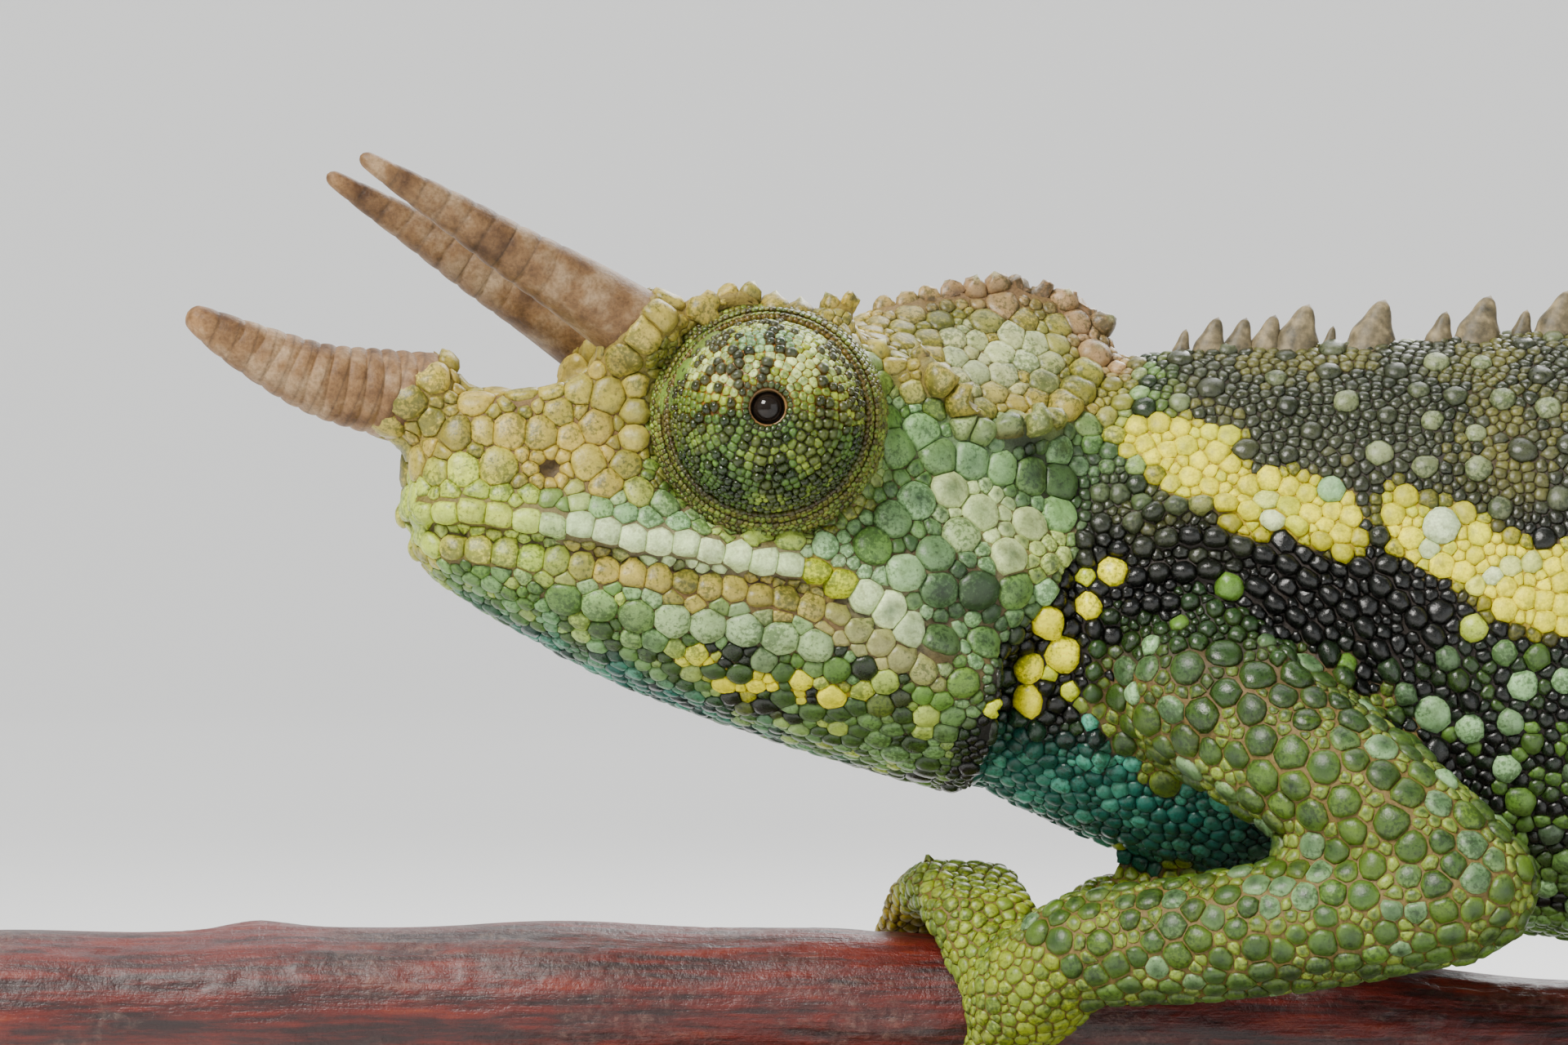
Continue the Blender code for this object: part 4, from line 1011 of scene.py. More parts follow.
def outlines(scales, sides, picked):
    # how far each scale reaches in each direction before it meets its neighbours
    places, normals, radii = (scales[key] for key in ("places", "normals", "radii"))
    spot, normal, radius, others = places[picked], normals[picked], radii[picked], scales["near"][picked]
    helper = np.where(np.abs(normal[:, :1]) < 0.8, [[1.0, 0, 0]], [[0, 0, 1.0]])
    across = unit(np.cross(normal, helper))
    onward = np.cross(normal, across)
    angles = (np.arange(sides) + 0.5) * math.tau / sides
    ways = across[:, None] * np.cos(angles)[:, None] + onward[:, None] * np.sin(angles)[:, None]
    gap = places[others] - spot[:, None]
    distance = np.maximum(np.linalg.norm(gap, axis=2), 1e-6)
    flat = unit(gap - normal[:, None] * (gap * normal[:, None]).sum(axis=2, keepdims=True))
    plane = distance / 2 + (radius[:, None] ** 2 - radii[others] ** 2) / (2 * distance)
    plane = np.maximum(plane, radius[:, None] * 0.4)
    facing = np.einsum("nkc,nmc->nkm", ways, flat)
    level = (normals[others] * normal[:, None]).sum(axis=2)
    meets = (facing > 0.05) & (level >= 0.1)[:, None]
    reach = np.where(meets, plane[:, None] / np.maximum(facing, 0.05), 1e3)
    power = scaleSizes["corner"]
    # where the skin bends sharply a scale stays small
    cap = (radius * np.interp(level[:, :6].min(axis=1), (0.0, 0.7), (1.25, scaleSizes["cap"])))[:, None]
    extent = ((reach ** -power).sum(axis=2) + cap ** -power) ** (-1 / power)
    return ways, np.maximum(extent * scales["tightness"][picked][:, None], 0.08)


# sides, and rings: shares of the outline, of the height, of the seam's colour and of the crown's
scaleShapes = {
    "fine": (16, (
        (1.0, -0.5, 0.8, 0.0), (0.975, 0.2, 0.16, 0.0), (0.86, 0.68, 0.0, 0.1), (0.5, 0.93, 0.0, 0.6),
    )),
    "middling": (14, ((1.0, -0.5, 0.8, 0.0), (0.95, 0.36, 0.1, 0.1), (0.66, 0.86, 0.0, 0.6))),
    "small": (9, ((1.0, -0.5, 0.8, 0.0), (0.88, 0.55, 0.1, 0.1), (0.48, 0.93, 0.0, 0.6))),
}
# the middle of the body and tail, from front to back
coreLine = ((-70, 28), (-20, 24), (20, 19), (50, 14), (75, -3))


def unwrap(places, owner):
    # a flat map of the animal's own shape: along the body, and round it
    turn = np.arctan2(places[:, 1], places[:, 2] - lineAt(coreLine, places[:, 0]))
    limb = partMask(owner, *limbWords)
    flatU = (places[:, 0] + 80) / 175
    flatV = 0.5 + turn / math.tau * 0.94
    limbV = 0.5 + np.sign(places[:, 1]) * (0.06 + np.clip(places[:, 2] + 14, 0, 40) / 100)
    return np.stack([flatU, np.where(limb, limbV, flatV)], axis=1)


def growScales(name, shape, scales, picked, maps, isBedded=True):
    # one mesh of the picked scales. Where they are bedded, each ring is laid on the skin.
    sides, rings = scaleShapes[shape]
    own = {key: values[picked] for key, values in scales.items()}
    ways, extent = outlines(scales, sides, picked)
    count = len(picked)
    rise = (own["rises"] * np.minimum(extent.mean(axis=1), own["radii"] * 1.1))[:, None, None]
    peak = own["peaks"][:, None, None]
    fields = ("places", "normals", "colours", "hearts", "seams")
    base, up, colour, heart, seam = (own[key][:, None] for key in fields)
    lean = (ways * extent[:, :, None]).mean(axis=1, keepdims=True)
    layers, tints = [], []
    for share, height, seamShare, heartShare in rings:
        reach = (extent * share)[:, :, None]
        flat = base + ways * reach * (1 - peak * 0.35 * max(height, 0)) + lean * (1 - share)
        above = up
        if isBedded:
            found, normalThere, _ = settle(flat.reshape(-1, 3))
            found, normalThere = found.reshape(flat.shape), normalThere.reshape(flat.shape)
            drop = found - flat
            drop *= np.minimum(1, reach * 0.8 / np.maximum(np.linalg.norm(drop, axis=2, keepdims=True), 1e-6))
            # rings beside a sharp edge don't fold over it
            facing = ramp((normalThere * up).sum(axis=2, keepdims=True), -0.2, 0.35)
            flat = flat + drop * facing
            above = unit(up + normalThere * 0.8 * facing)
        layers.append(flat + above * rise * height)
        shade = (colour * (1 - heartShare) + heart * heartShare) * (1 - seamShare) + seam * seamShare
        tints.append(np.broadcast_to(shade, (count, sides, 3)))
    layers.append(base + lean + up * rise * (1 + 0.5 * peak))
    tints.append(np.broadcast_to(heart * (1 - peak * 0.6) + paints["frost"] * peak * 0.6, (count, 1, 3)))
    points = np.concatenate(layers, axis=1)
    tint = np.concatenate(tints, axis=1)
    step = points.shape[1]
    faces, sizes = [], []
    for level in range(len(rings) - 1):
        for k in range(sides):
            a, b = level * sides + k, level * sides + (k + 1) % sides
            faces += [a, b, b + sides, a + sides]
            sizes.append(4)
    last = (len(rings) - 1) * sides
    for k in range(sides):
        faces += [last + k, last + (k + 1) % sides, step - 1]
        sizes.append(3)
    faces += list(range(sides))[::-1]
    sizes.append(sides)
    index = (np.array(faces)[None] + (np.arange(count) * step)[:, None]).ravel()
    starts = np.concatenate([[0], np.cumsum(np.tile(sizes, count))[:-1]])
    data = bpy.data.meshes.new(name)
    data.vertices.add(count * step)
    data.vertices.foreach_set("co", toRow(points.reshape(-1, 3)).ravel())
    data.loops.add(len(index))
    data.loops.foreach_set("vertex_index", index.astype(np.int32))
    data.polygons.add(len(starts))
    data.polygons.foreach_set("loop_start", starts.astype(np.int32))
    data.update(calc_edges=True)
    addTint(data, tint.reshape(-1, 3), np.repeat(own["gloss"], step))
    spokes = np.array([(math.cos(a), math.sin(a)) for a in (np.arange(sides) + 0.5) * math.tau / sides])
    local = np.concatenate([spokes * share for share, *_ in rings] + [np.zeros((1, 2))]) * scaleSizes["patch"]
    flat = (maps[picked][:, None] + local[None]).reshape(-1, 2)
    layer = data.uv_layers.new(name="OFBake")
    layer.data.foreach_set("uv", flat[index].astype(np.float32).ravel())
    return data


def scaleFinish():
    finish = Finish("scale_finish", Roughness=0.4, Specular_IOR_Level=0.5, Subsurface_Weight=0.06)
    finish.shader.inputs["Subsurface Radius"].default_value = (0.0006, 0.0008, 0.0004)
    rough = finish.tint("Alpha")
    fine = finish.noise(9000.0, 3.0)
    specks = finish.ramped(finish.noise(2600.0, 2.0), (0.34, (0.5, 0.47, 0.4)), (0.52, (1.0, 1.0, 1.0)))
    clouds = finish.ramped(finish.noise(1100.0, 3.0), (0.38, (0.62, 0.66, 0.5)), (0.6, (1.08, 1.06, 1.02)))
    colour = finish.stained(finish.stained(finish.tint(), specks, 0.5), clouds, 0.6)
    grain = finish.noise(5200.0, 2.0) * 0.5 + finish.noise(330.0, 2.0) * 0.5
    pepper = finish.ramped(grain, (0.43, (0.36, 0.44, 0.32)), (0.5, (1.04, 1.04, 1.04)))
    # pale and yellow scales are rougher, and carry few dark specks
    isClean = rough.math("GREATER_THAN", 0.47)
    colour = finish.stained(colour, pepper, 0.8 - isClean * 0.6)
    pale = finish.ramped(fine, (0.4, (0.8, 0.8, 0.8)), (0.66, (1.2, 1.2, 1.2)))
    finish.feed("Base Color", finish.stained(colour, pale, 0.6))
    finish.feed("Roughness", rough + (fine - 0.5) * 0.25)
    finish.bumped(fine, 0.4, 0.00005)
    return finish.material


def skinFinish():
    finish = Finish("skin_finish", Roughness=0.6, Specular_IOR_Level=0.4)
    fine = finish.noise(7000.0, 3.0)
    shade = finish.ramped(fine, (0.35, (0.6, 0.55, 0.5)), (0.6, (1.1, 1.1, 1.1)))
    finish.feed("Base Color", finish.stained(finish.tint(), shade, 0.8))
    finish.bumped(fine, 0.5, 0.00008)
    return finish.material


def seamColours(owner, colour):
    # between the scales: pinkish brown where they are pale, and nearly black where they are dark
    bright = colour @ np.array([0.3, 0.6, 0.1])
    isLimb = partMask(owner, *limbWords)[:, None]
    isWarm = isLimb | partMask(owner, *headWords)[:, None]
    pale = ramp(bright, 0.02, 0.2)[:, None]
    seam = (paints["bark"] * 0.25) * (1 - pale) + paints["rust"] * pale * (0.45 + 0.2 * isWarm + 0.2 * isLimb)
    yellow = (colour[:, 0] > 0.45) & (colour[:, 2] < 0.1)
    seam[yellow] = paints["mustard"] * 0.75
    return seam * 0.7 + colour * 0.3 * 0.6


scaleMaterial = scaleFinish()
skinMaterial = skinFinish()

skinColour, _, _ = markings(skinPoints, skinOwner, np.full(len(skinPoints), 0.45), np.zeros(len(skinPoints)))
skinSeam = seamColours(skinOwner, skinColour)
# painted shade in the nostrils' hollows: the skin there is darkened nearly to black
for pit in nostrils():
    skinSeam *= (1 - 0.85 * np.exp(-(np.linalg.norm(skinPoints - pit, axis=1) / 0.6) ** 2))[:, None]
# painted shade in the groove between the lips: the skin along the mouth is darkened
mouthU, mouthV = chart(skinPoints, partMask(skinOwner, *headWords))
mouthShade = np.exp(-((mouthV - lineAt(mouthLine, mouthU)) / 9) ** 2) * (mouthU < 1140)
skinSeam *= 1 - 0.6 * (mouthShade * partMask(skinOwner, *headWords))[:, None]
# bare skin round the knobs and horns, under the casque's edge and in the crease behind the jaw takes its
# markings' colour, darkened to about half as a painted shade
bareShare = np.maximum(knobZone(skinPoints), ledgeZone(skinPoints))
skinSeam = skinSeam * (1 - bareShare * 0.85) + skinColour * 0.55 * bareShare * 0.85
skinData.vertices.foreach_set("co", toRow(skinPoints).ravel())
addTint(skinData, skinSeam, 0.6)
finishPiece("skin", skinData, skinMaterial, "trunk_skin", *fleshNodes)

places, radii, rises, peaks, large, names = scatterScales()
print("scales:", len(places), "of which large:", int(large.sum()))
guided = np.array([name is not None for name in names]) | (peaks > 0.05)
places = spaceOut(places, radii, 3, guided)
places, normals, owner = settle(places)
colours, hearts, gloss = markings(places, owner, rng.random(len(places)), large.astype(float))
isDrawn = np.array([name != "pit" for name in names])
for index, name in enumerate(names):
    if name and name != "pit":
        colours[index] = paints[name]
        hearts[index] = paints[name] * 1.1
scales = {
    "places": places, "normals": normals, "radii": radii, "rises": rises, "peaks": peaks, "gloss": gloss,
    "near": neighboursOf(places, 15), "colours": colours, "hearts": hearts,
    "seams": seamColours(owner, colours),
    "tightness": np.where(partMask(owner, *limbWords), scaleSizes["limbOverlap"], scaleSizes["overlap"]),
}
maps = unwrap(places, owner)

coatParts = {
    # slot, side if it is one half, and the solids that it covers
    "scales_head": ("head_skin", 0, "head"), "scales_jaw": ("head_skin", 0, "lower_jaw"),
    "scales_neck": ("trunk_skin", 0, "neck"), "scales_chest_left": ("trunk_skin", -1, "chest"),
    "scales_chest_right": ("trunk_skin", 1, "chest"), "scales_loin_left": ("trunk_skin", -1, "loin"),
    "scales_loin_right": ("trunk_skin", 1, "loin"), "scales_arms": ("limb_skin", 0, "upper_arm", "forearm"),
    "scales_forefeet": ("limb_skin", 0, "forefoot"), "scales_legs": ("limb_skin", 0, "thigh", "shin"),
    "scales_hindfeet": ("limb_skin", 0, "hindfoot"),
    "scales_tail": ("tail_skin", 0, "tail_root", "tail_bend"),
    "scales_coil": ("tail_skin", 0, "tail_coil", "tail_tip"),
}
total = 0
for name, (slot, half, *words) in coatParts.items():
    mine = partMask(owner, *words) & isDrawn
    if half:
        mine &= places[:, 1] * half > 0
    isFine = mine & (large > 0) & partMask(owner, *headWords)
    isSmall = mine & (large < 1)
    parts = []
    own = maps[mine]
    fitted = (maps - own.min(axis=0)) / np.maximum(np.ptp(own, axis=0), 1e-6) * 0.96 + 0.02
    for shape, mask in (("fine", isFine), ("middling", mine & ~isSmall & ~isFine), ("small", isSmall)):
        if mask.any():
            parts.append(growScales(name, shape, scales, np.flatnonzero(mask), fitted))
    data = asMesh(name, joined(parts))
    triangles = sum(len(p.vertices) - 2 for p in data.polygons)
    total += triangles
    print(name, triangles)
    finishPiece(name, data, scaleMaterial, slot)
print("coat triangles:", total)

# Smaller pieces, made by bmesh operators

def curveAt(table, x):
    # the table's value at x, smooth through its rows
    last = len(table) - 1
    i = max(0, min(last - 1, sum(1 for row in table if row[0] <= x) - 1))
    t = (x - table[i][0]) / (table[i + 1][0] - table[i][0])
    a, b, c, d = (table[k][1] for k in (max(0, i - 1), i, i + 1, min(last, i + 2)))
    square, cube = 2 * a - 5 * b + 4 * c - d, 3 * b - a - 3 * c + d
    return 0.5 * (2 * b + (c - a) * t + square * t * t + cube * t ** 3)


def drawnBar(sides, length, steps, centreAt, radiusAt):
    # a bar of even rings bent along a curve. The functions take 0 to 1 along it, and the radius an angle too.
    bar = bmesh.new()
    bmesh.ops.create_cone(bar, cap_ends=True, segments=sides, radius1=1, radius2=1, depth=length)
    bmesh.ops.translate(bar, vec=(0, 0, length / 2), verts=bar.verts)
    upright = [edge for edge in bar.edges if abs(edge.verts[0].co.z - edge.verts[1].co.z) > length / 2]
    bmesh.ops.subdivide_edges(bar, edges=upright, cuts=steps - 1, use_grid_fill=True)
    for vert in bar.verts:
        t = min(1.0, max(0.0, vert.co.z / length))
        angle = math.atan2(vert.co.y, vert.co.x)
        centre, ahead = centreAt(t), centreAt(min(1.0, t + 0.01)) - centreAt(max(0.0, t - 0.01))
        ahead.normalize()
        up = (Vector((0, 0, 1)) - ahead * ahead.z).normalized()
        across = up.cross(ahead)
        radius = radiusAt(t, angle) * math.hypot(vert.co.x, vert.co.y)
        vert.co = centre + (across * math.cos(angle) + up * math.sin(angle)) * radius
    bmesh.ops.remove_doubles(bar, verts=bar.verts, dist=0.001)
    return bar


def solidPiece(name, pieces):
    # one mesh in metres from several bmeshes
    for piece in pieces:
        bmesh.ops.recalc_face_normals(piece, faces=piece.faces)
    whole = joined([asMesh("part", piece) for piece in pieces])
    bmesh.ops.translate(whole, vec=(0, 0, lift), verts=whole.verts)
    bmesh.ops.scale(whole, vec=(0.001, 0.001, 0.001), verts=whole.verts)
    return asMesh(name, whole)


def headPlace(vector):
    return Vector(fromHead(vector))


hornSizes = {"sides": 56, "steps": 260, "tip": 0.16, "root": 0.9, "rings": 13, "ripple": 0.085}


def hornFinish():
    finish = Finish("horn_finish", Roughness=0.5, Specular_IOR_Level=0.35, Subsurface_Weight=0.05)
    finish.shader.inputs["Subsurface Radius"].default_value = (0.0012, 0.0007, 0.0004)
    fleck = finish.noise(2600.0, 3.0)
    stain = finish.noise(900.0, 5.0, 0.7)
    grain = finish.noise(5200.0, 4.0, 0.7)
    brown = finish.ramped(
        finish.noise(420.0, 4.0), (0.3, paint(84, 60, 38, 1.1)), (0.5, paint(130, 102, 72, 1.1)),
        (0.7, paint(170, 146, 114, 1.0))
    )
    spots = finish.ramped(stain, (0.36, (0.45, 0.38, 0.32)), (0.52, (1, 1, 1)))
    # the tint brings in the painted shade of the grooves, the paler tip and each horn's tone
    grooved = finish.stained(finish.stained(brown, spots, 0.5), finish.tint(), 1.0)
    flecks = finish.ramped(grain, (0.36, (0.62, 0.58, 0.54)), (0.58, (1.06, 1.06, 1.06)))
    finish.feed("Base Color", finish.stained(grooved, flecks, 0.75))
    finish.feed("Roughness", 0.42 + fleck * 0.25)
    finish.bumped(fleck + stain + grain, 0.4, 0.00007)
    return finish.material


def makeHorn(name):
    spec = horns[name]
    foot = np.array(spec["foot"])
    base, tip = headPlace(foot), headPlace(foot + spec["way"])
    length = (tip - base).length
    whole = length + hornSizes["root"]

    def along(t):
        return (t * whole - hornSizes["root"]) / length

    def centreAt(t):
        s = along(t)
        return base.lerp(tip, s) - Vector((0, 0, spec["sag"] * math.sin(math.pi * min(1, max(0, s)))))

    def ringAt(s, angle):
        # 0 in a groove and 1 on the swell in front of it, fading where the base is smooth
        phase = (1 - (1 - max(0, s)) ** 1.15) * hornSizes["rings"] + 0.12 * math.sin(angle * 2 + s * 9)
        wave = abs(math.sin(phase * math.pi)) ** 0.42
        fade = float(ramp(np.array(s), spec["smooth"] * 0.4, spec["smooth"] + 0.02))
        return 1 - (1 - wave) * fade

    def radiusAt(t, angle):
        s = along(t)
        inner = min(1, max(0, s))
        taper = (1 - inner) ** spec["fullness"] * (1 - hornSizes["tip"]) + hornSizes["tip"]
        end = math.sqrt(max(0.0, 1 - max(0, (inner - 0.975) / 0.025) ** 2))
        swell = 1 + hornSizes["ripple"] * (ringAt(s, angle) - 0.55) + 0.02 * math.sin(angle * 3 + s * 14)
        sunk = 0.7 + 0.3 * min(1, max(0, (s * length + hornSizes["root"]) / hornSizes["root"]))
        return spec["radius"] * taper * swell * end * sunk

    bar = drawnBar(hornSizes["sides"], whole, hornSizes["steps"], centreAt, radiusAt)
    data = solidPiece(name, [bar])
    points = fromRow(data.vertices)
    way = np.array(tip - base) / length
    s = np.clip((points - np.array(base)) @ way / length, 0, 1)
    ring = np.array([ringAt(value, 0.0) for value in s])
    # the grooves between the rings are darkened as painted shade, with a faint pale band in each, and the tip
    # is paler
    shade = 0.4 + 0.6 * ramp(ring, 0.1, 0.75)
    pale = ramp(s, 0.86, 0.98) * 0.45 + (ring < 0.5) * 0.1
    addTint(data, (shade + pale)[:, None] * np.array([1.0, 0.98, 0.97]) * spec["shade"], 0.4)
    finishPiece(name + "_ringed", data, hornMaterial, "horn", name)


hornMaterial = hornFinish()
for hornName in horns:
    makeHorn(hornName)
print("horns done")

# Spines along the back

# the spines that the photograph shows have their places and heights, and the rest follow a rule
crestSizes = {
    "front": (
        (-23.9, 0.9), (-22.3, 1.5), (-20.8, 1.4), (-19.3, 1.5), (-17.6, 2.0), (-16.1, 0.8), (-13.6, 2.1),
        (-10.2, 1.3), (-8.0, 2.0),
    ),
    "rest": (-5.9, 48.0), "height": 2.0, "pitch": 4.2, "spread": 1.6, "root": 1.2, "sunk": 0.3,
    "sides": 14, "steps": 14,
}


def crestRow():
    # where each spine stands along the back, and its height
    row = list(crestSizes["front"])
    start, end = crestSizes["rest"]
    x, small = start, True
    while x < end:
        fade = 1 - 0.5 * (x - start) / (end - start)
        row.append((x, crestSizes["height"] * fade * (0.55 if small else 1.0)))
        x += crestSizes["pitch"] * (0.5 + 0.5 * fade) / 2
        small = not small
    return row


def makeSpine(x, height):
    top = curveAt(trunkTop, x) - crestSizes["sunk"]
    whole = height + crestSizes["root"] + crestSizes["sunk"]

    def centreAt(t):
        back = 0.32 * height * (t ** 1.7)
        return Vector((x - 0.25 * height + back + 0.12 * height * t, 0, top - crestSizes["root"] + whole * t))

    def radiusAt(t, angle):
        body = (1 - t) ** 0.72 * 0.96 + 0.05 * (t < 0.98)
        wide = math.hypot(math.sin(angle), math.cos(angle) * 0.78)
        return height * crestSizes["spread"] * 0.52 * body * wide * (1 + 0.06 * math.sin(t * 16))

    return drawnBar(crestSizes["sides"], whole, crestSizes["steps"], centreAt, radiusAt)


def spineFinish():
    finish = Finish("spine_finish", Roughness=0.55)
    grain = finish.noise(1500.0, 4.0)
    fine = finish.noise(6000.0, 3.0)
    finish.feed("Base Color", finish.ramped(
        grain, (0.3, paint(60, 56, 42)), (0.5, paint(104, 94, 72)), (0.7, paint(148, 134, 104))
    ))
    finish.feed("Roughness", 0.4 + grain * 0.3)
    finish.bumped(fine, 0.4, 0.00006)
    return finish.material


spines = solidPiece("spines", [makeSpine(x, height) for x, height in crestRow()])
finishPiece("spines", spines, spineFinish(), "trunk_skin")
print("spines done")

# Feet: claws at the ends of the toes

branchLine = (
    (-92.5, -0.4), (-75.0, 0.0), (-56.0, 0.1), (-38.0, -0.1), (-20.0, -1.4), (0.0, -2.9), (26.0, -3.6),
    (53.5, -3.4),
)
branchRadius = 4.3
toeSizes = {
    "radius": 2.0, "pitch": 1.9, "arch": 0.8, "clawLength": 2.5, "clawRadius": 0.62, "clawSides": 16,
    "clawSteps": 14,
}
feet = (
    # side, heel's x, grip, reach of the upper toes, toes over and under
    (-1, -30.0, -35.2, 122, 3, 2), (1, -20.8, -25.6, 94, 3, 2), (-1, 36.4, 40.4, 122, 2, 3),
    (1, 26.0, 29.4, 122, 2, 3),
)


def branchAxis(x):
    return Vector((x, 0, curveAt(branchLine, x)))


def aroundBranch(x, angle, radius):
    return branchAxis(x) + Vector((0, math.cos(angle), math.sin(angle))) * radius


def toePath(startX, endX, startAngle, endAngle):
    points = []
    for k in range(5):
        t = k / 4
        arch = toeSizes["arch"] * math.sin(math.pi * min(1.0, t * 1.15))
        angle = startAngle + (endAngle - startAngle) * t
        x = startX + (endX - startX) * t ** 0.8
        points.append(aroundBranch(x, angle, branchRadius + toeSizes["radius"] * 0.86 + arch))
    return points


def toes():
    # each toe's path and the place on the branch's axis that its claw turns to
    found = []
    for side, heel, grip, reach, over, under in feet:
        ahead = math.copysign(1.0, grip - heel)
        # how many toes, their way round the branch, where they start, how far they lean and how far they turn
        for count, sweep, first, lean, turn in ((over, 1, 22, 2.2, reach), (under, -1, -6, 1.4, 112)):
            start = math.pi / 2 - side * (math.pi / 2 - math.radians(first))
            end = start + side * sweep * math.radians(turn)
            for k in range(count):
                shift = (k - (count - 1) / 2) * toeSizes["pitch"]
                endX = grip + ahead * lean + shift
                path = toePath(grip - ahead * 2.0 + shift * 0.55, endX, start, end)
                found.append((path, branchAxis(endX)))
    return found


def makeClaw(path, axis):
    onward = (path[-1] - path[-2]).normalized()
    inward = (axis - path[-1]).normalized()
    root = path[-1] + onward * 0.1 - inward * 0.1
    length = toeSizes["clawLength"]

    def centreAt(t):
        return root + onward * length * 0.95 * t + inward * (0.05 + 0.85 * t ** 2)

    def radiusAt(t, angle):
        return toeSizes["clawRadius"] * ((1 - t) ** 0.75 * 0.95 + 0.05 * (t < 0.98))

    return drawnBar(toeSizes["clawSides"], length, toeSizes["clawSteps"], centreAt, radiusAt)


def clawFinish():
    finish = Finish("claw_finish", Roughness=0.32)
    streak = finish.noise(1400.0, 4.0)
    finish.feed("Base Color", finish.ramped(
        streak, (0.35, paint(70, 54, 38)), (0.55, paint(120, 96, 66)), (0.7, paint(164, 142, 104))
    ))
    finish.feed("Roughness", 0.22 + streak * 0.25)
    return finish.material


claws = solidPiece("claws", [makeClaw(*toe) for toe in toes()])
finishPiece("claws", claws, clawFinish(), "horn")
print("claws done")

# Eyes: the turret's folded lid, the eye in its slit and the fine beads round it

turretSizes = {"sides": 120, "lensSides": 64, "bedSteps": 72, "reach": 6.5, "dark": 0.66}
lensLine = (
    (0.0, 5.4), (0.2, 5.38), (0.42, 5.3), (0.62, 5.16), (0.78, 4.98), (0.88, 4.76), (0.9, 4.55), (0.0, 4.5),
)


def turretFrame(side):
    # two directions across the turret and the one that it looks along, in the head's own frame
    axis = turret["axis"] * [1, side, 1]
    across = unit(np.cross([0.0, 0.0, 1.0], axis))
    return turret["centre"] * [1, side, 1], across, np.cross(axis, across), axis


def bedHeights(side):
    # how high the head's skin stands round the turret, for each angle
    centre, across, up, axis = turretFrame(side)
    heights = []
    for angle in np.arange(turretSizes["bedSteps"]) * math.tau / turretSizes["bedSteps"]:
        out = across * math.cos(angle) + up * math.sin(angle)
        start = fromHead(centre + out * turretSizes["reach"] + axis * 5)
        way = (axis @ headTurn.T) * -1
        hit = skinTree.ray_cast(Vector(start), Vector(way), 9.0)
        heights.append(5 - hit[3] if hit[0] else -2.5)
    heights = np.clip(heights, -3.0, 1.2)
    for _ in range(6):
        heights = (np.roll(heights, 1) + 2 * heights + np.roll(heights, -1)) / 4
    return heights


beds = {side: bedHeights(side) for side in (-1, 1)}


def onTurret(side, radius, depth, angle):
    # the place for a point of the turret's profile, its skirt let down to the head's skin
    centre, across, up, axis = turretFrame(side)
    at = (angle % math.tau) / math.tau * turretSizes["bedSteps"]
    bed = np.interp(at, np.arange(turretSizes["bedSteps"] + 1), np.append(beds[side], beds[side][0]))
    share = ramp(radius, 5.5, 6.3)
    depth = depth + share * (bed * 0.5 + 0.1)
    out = np.cos(angle)[..., None] * across + np.sin(angle)[..., None] * up
    return fromHead(centre + out * np.asarray(radius)[..., None] + depth[..., None] * axis)


def spun(line, sides):
    # a profile of radius and depth turned about the Z axis, with its faces in the same order each run
    shape = bmesh.new()
    verts = [shape.verts.new((radius, 0, depth)) for radius, depth in line]
    edges = [shape.edges.new(pair) for pair in zip(verts, verts[1:])]
    bmesh.ops.spin(
        shape, geom=verts + edges, cent=(0, 0, 0), axis=(0, 0, 1), angle=math.tau, steps=sides, use_merge=True
    )
    bmesh.ops.remove_doubles(shape, verts=shape.verts, dist=0.0005)

    def order(face):
        x, y, z = face.calc_center_median()
        return round(math.atan2(y, x) * 2 * sides / math.tau) * 1000 + z * 7 + math.hypot(x, y) * 3

    shape.faces.sort(key=order)
    return shape


def onTurretSpun(name, line, sides, side):
    # a spun shape with its axis on the turret's
    shape = spun(line, sides)
    for vert in shape.verts:
        radius = math.hypot(vert.co.x, vert.co.y)
        angle = math.atan2(vert.co.y, vert.co.x)
        vert.co = onTurret(side, np.array(radius), np.array(vert.co.z), np.array(angle))
    return solidPiece(name, [shape])


def turretMarks(radius, angle, chance):
    # beads on the turret: black among yellow-green, paler above and darker green below, partly their own
    # colours and partly painted light and shade from above, and browner folds round it
    up = np.sin(angle)
    flat = np.stack([radius * np.cos(angle), radius * np.sin(angle), 0 * radius], axis=1)
    lump = cloud(flat, 1.1, 4)
    coat = Coat(len(radius), "leaf")
    lay = coat.lay
    dome = 1 - ramp(radius, 4.85, 4.95)
    lay("spring", dome * ramp(up + (lump - 0.5), -0.7, 0.5) * 0.65)
    lay("lime", dome * ramp(lump + chance * 0.4, 0.5, 0.8) * 0.7)
    lay("cream", dome * ramp(up, 0.1, 0.7) * ramp(chance, 0.1, 0.4) * 0.75)
    lay("mint", dome * ramp(up, 0.88, 0.95) * ramp(radius, 2.6, 3.2) * (1 - ramp(radius, 4.0, 4.4)))
    lay("deep", dome * (1 - ramp(up + (lump - 0.5), -0.9, 0.3)) * ramp(chance, 0.1, 0.8) * 0.85)
    shift = 0.16 * (1 - ramp(up, -0.6, 0.2)) - 0.07 * ramp(up, 0.2, 0.7)
    isDark = chance + (lump - 0.5) * 0.35 + shift > turretSizes["dark"]
    lay("night", dome * isDark * (0.94 - 0.3 * (1 - ramp(up, -0.6, 0.2))))
    lay("night", (1 - ramp(radius, 1.35, 1.5)) * 0.85)
    folds = 1 - dome
    lay("olive", folds * 0.9)
    lay("leaf", folds * ramp(chance, 0.35, 0.7) * 0.6)
    lay("lime", folds * ramp(chance, 0.85, 0.97) * 0.4)
    lay("bark", folds * (1 - ramp(chance, 0.1, 0.35)) * 0.6)
    colour = coat.colour * (0.75 + 0.5 * chance)[:, None] * (1 - 0.25 * folds)[:, None]
    return colour, np.where(colour.sum(axis=1) < 0.12, 0.16, 0.34), dome * isDark


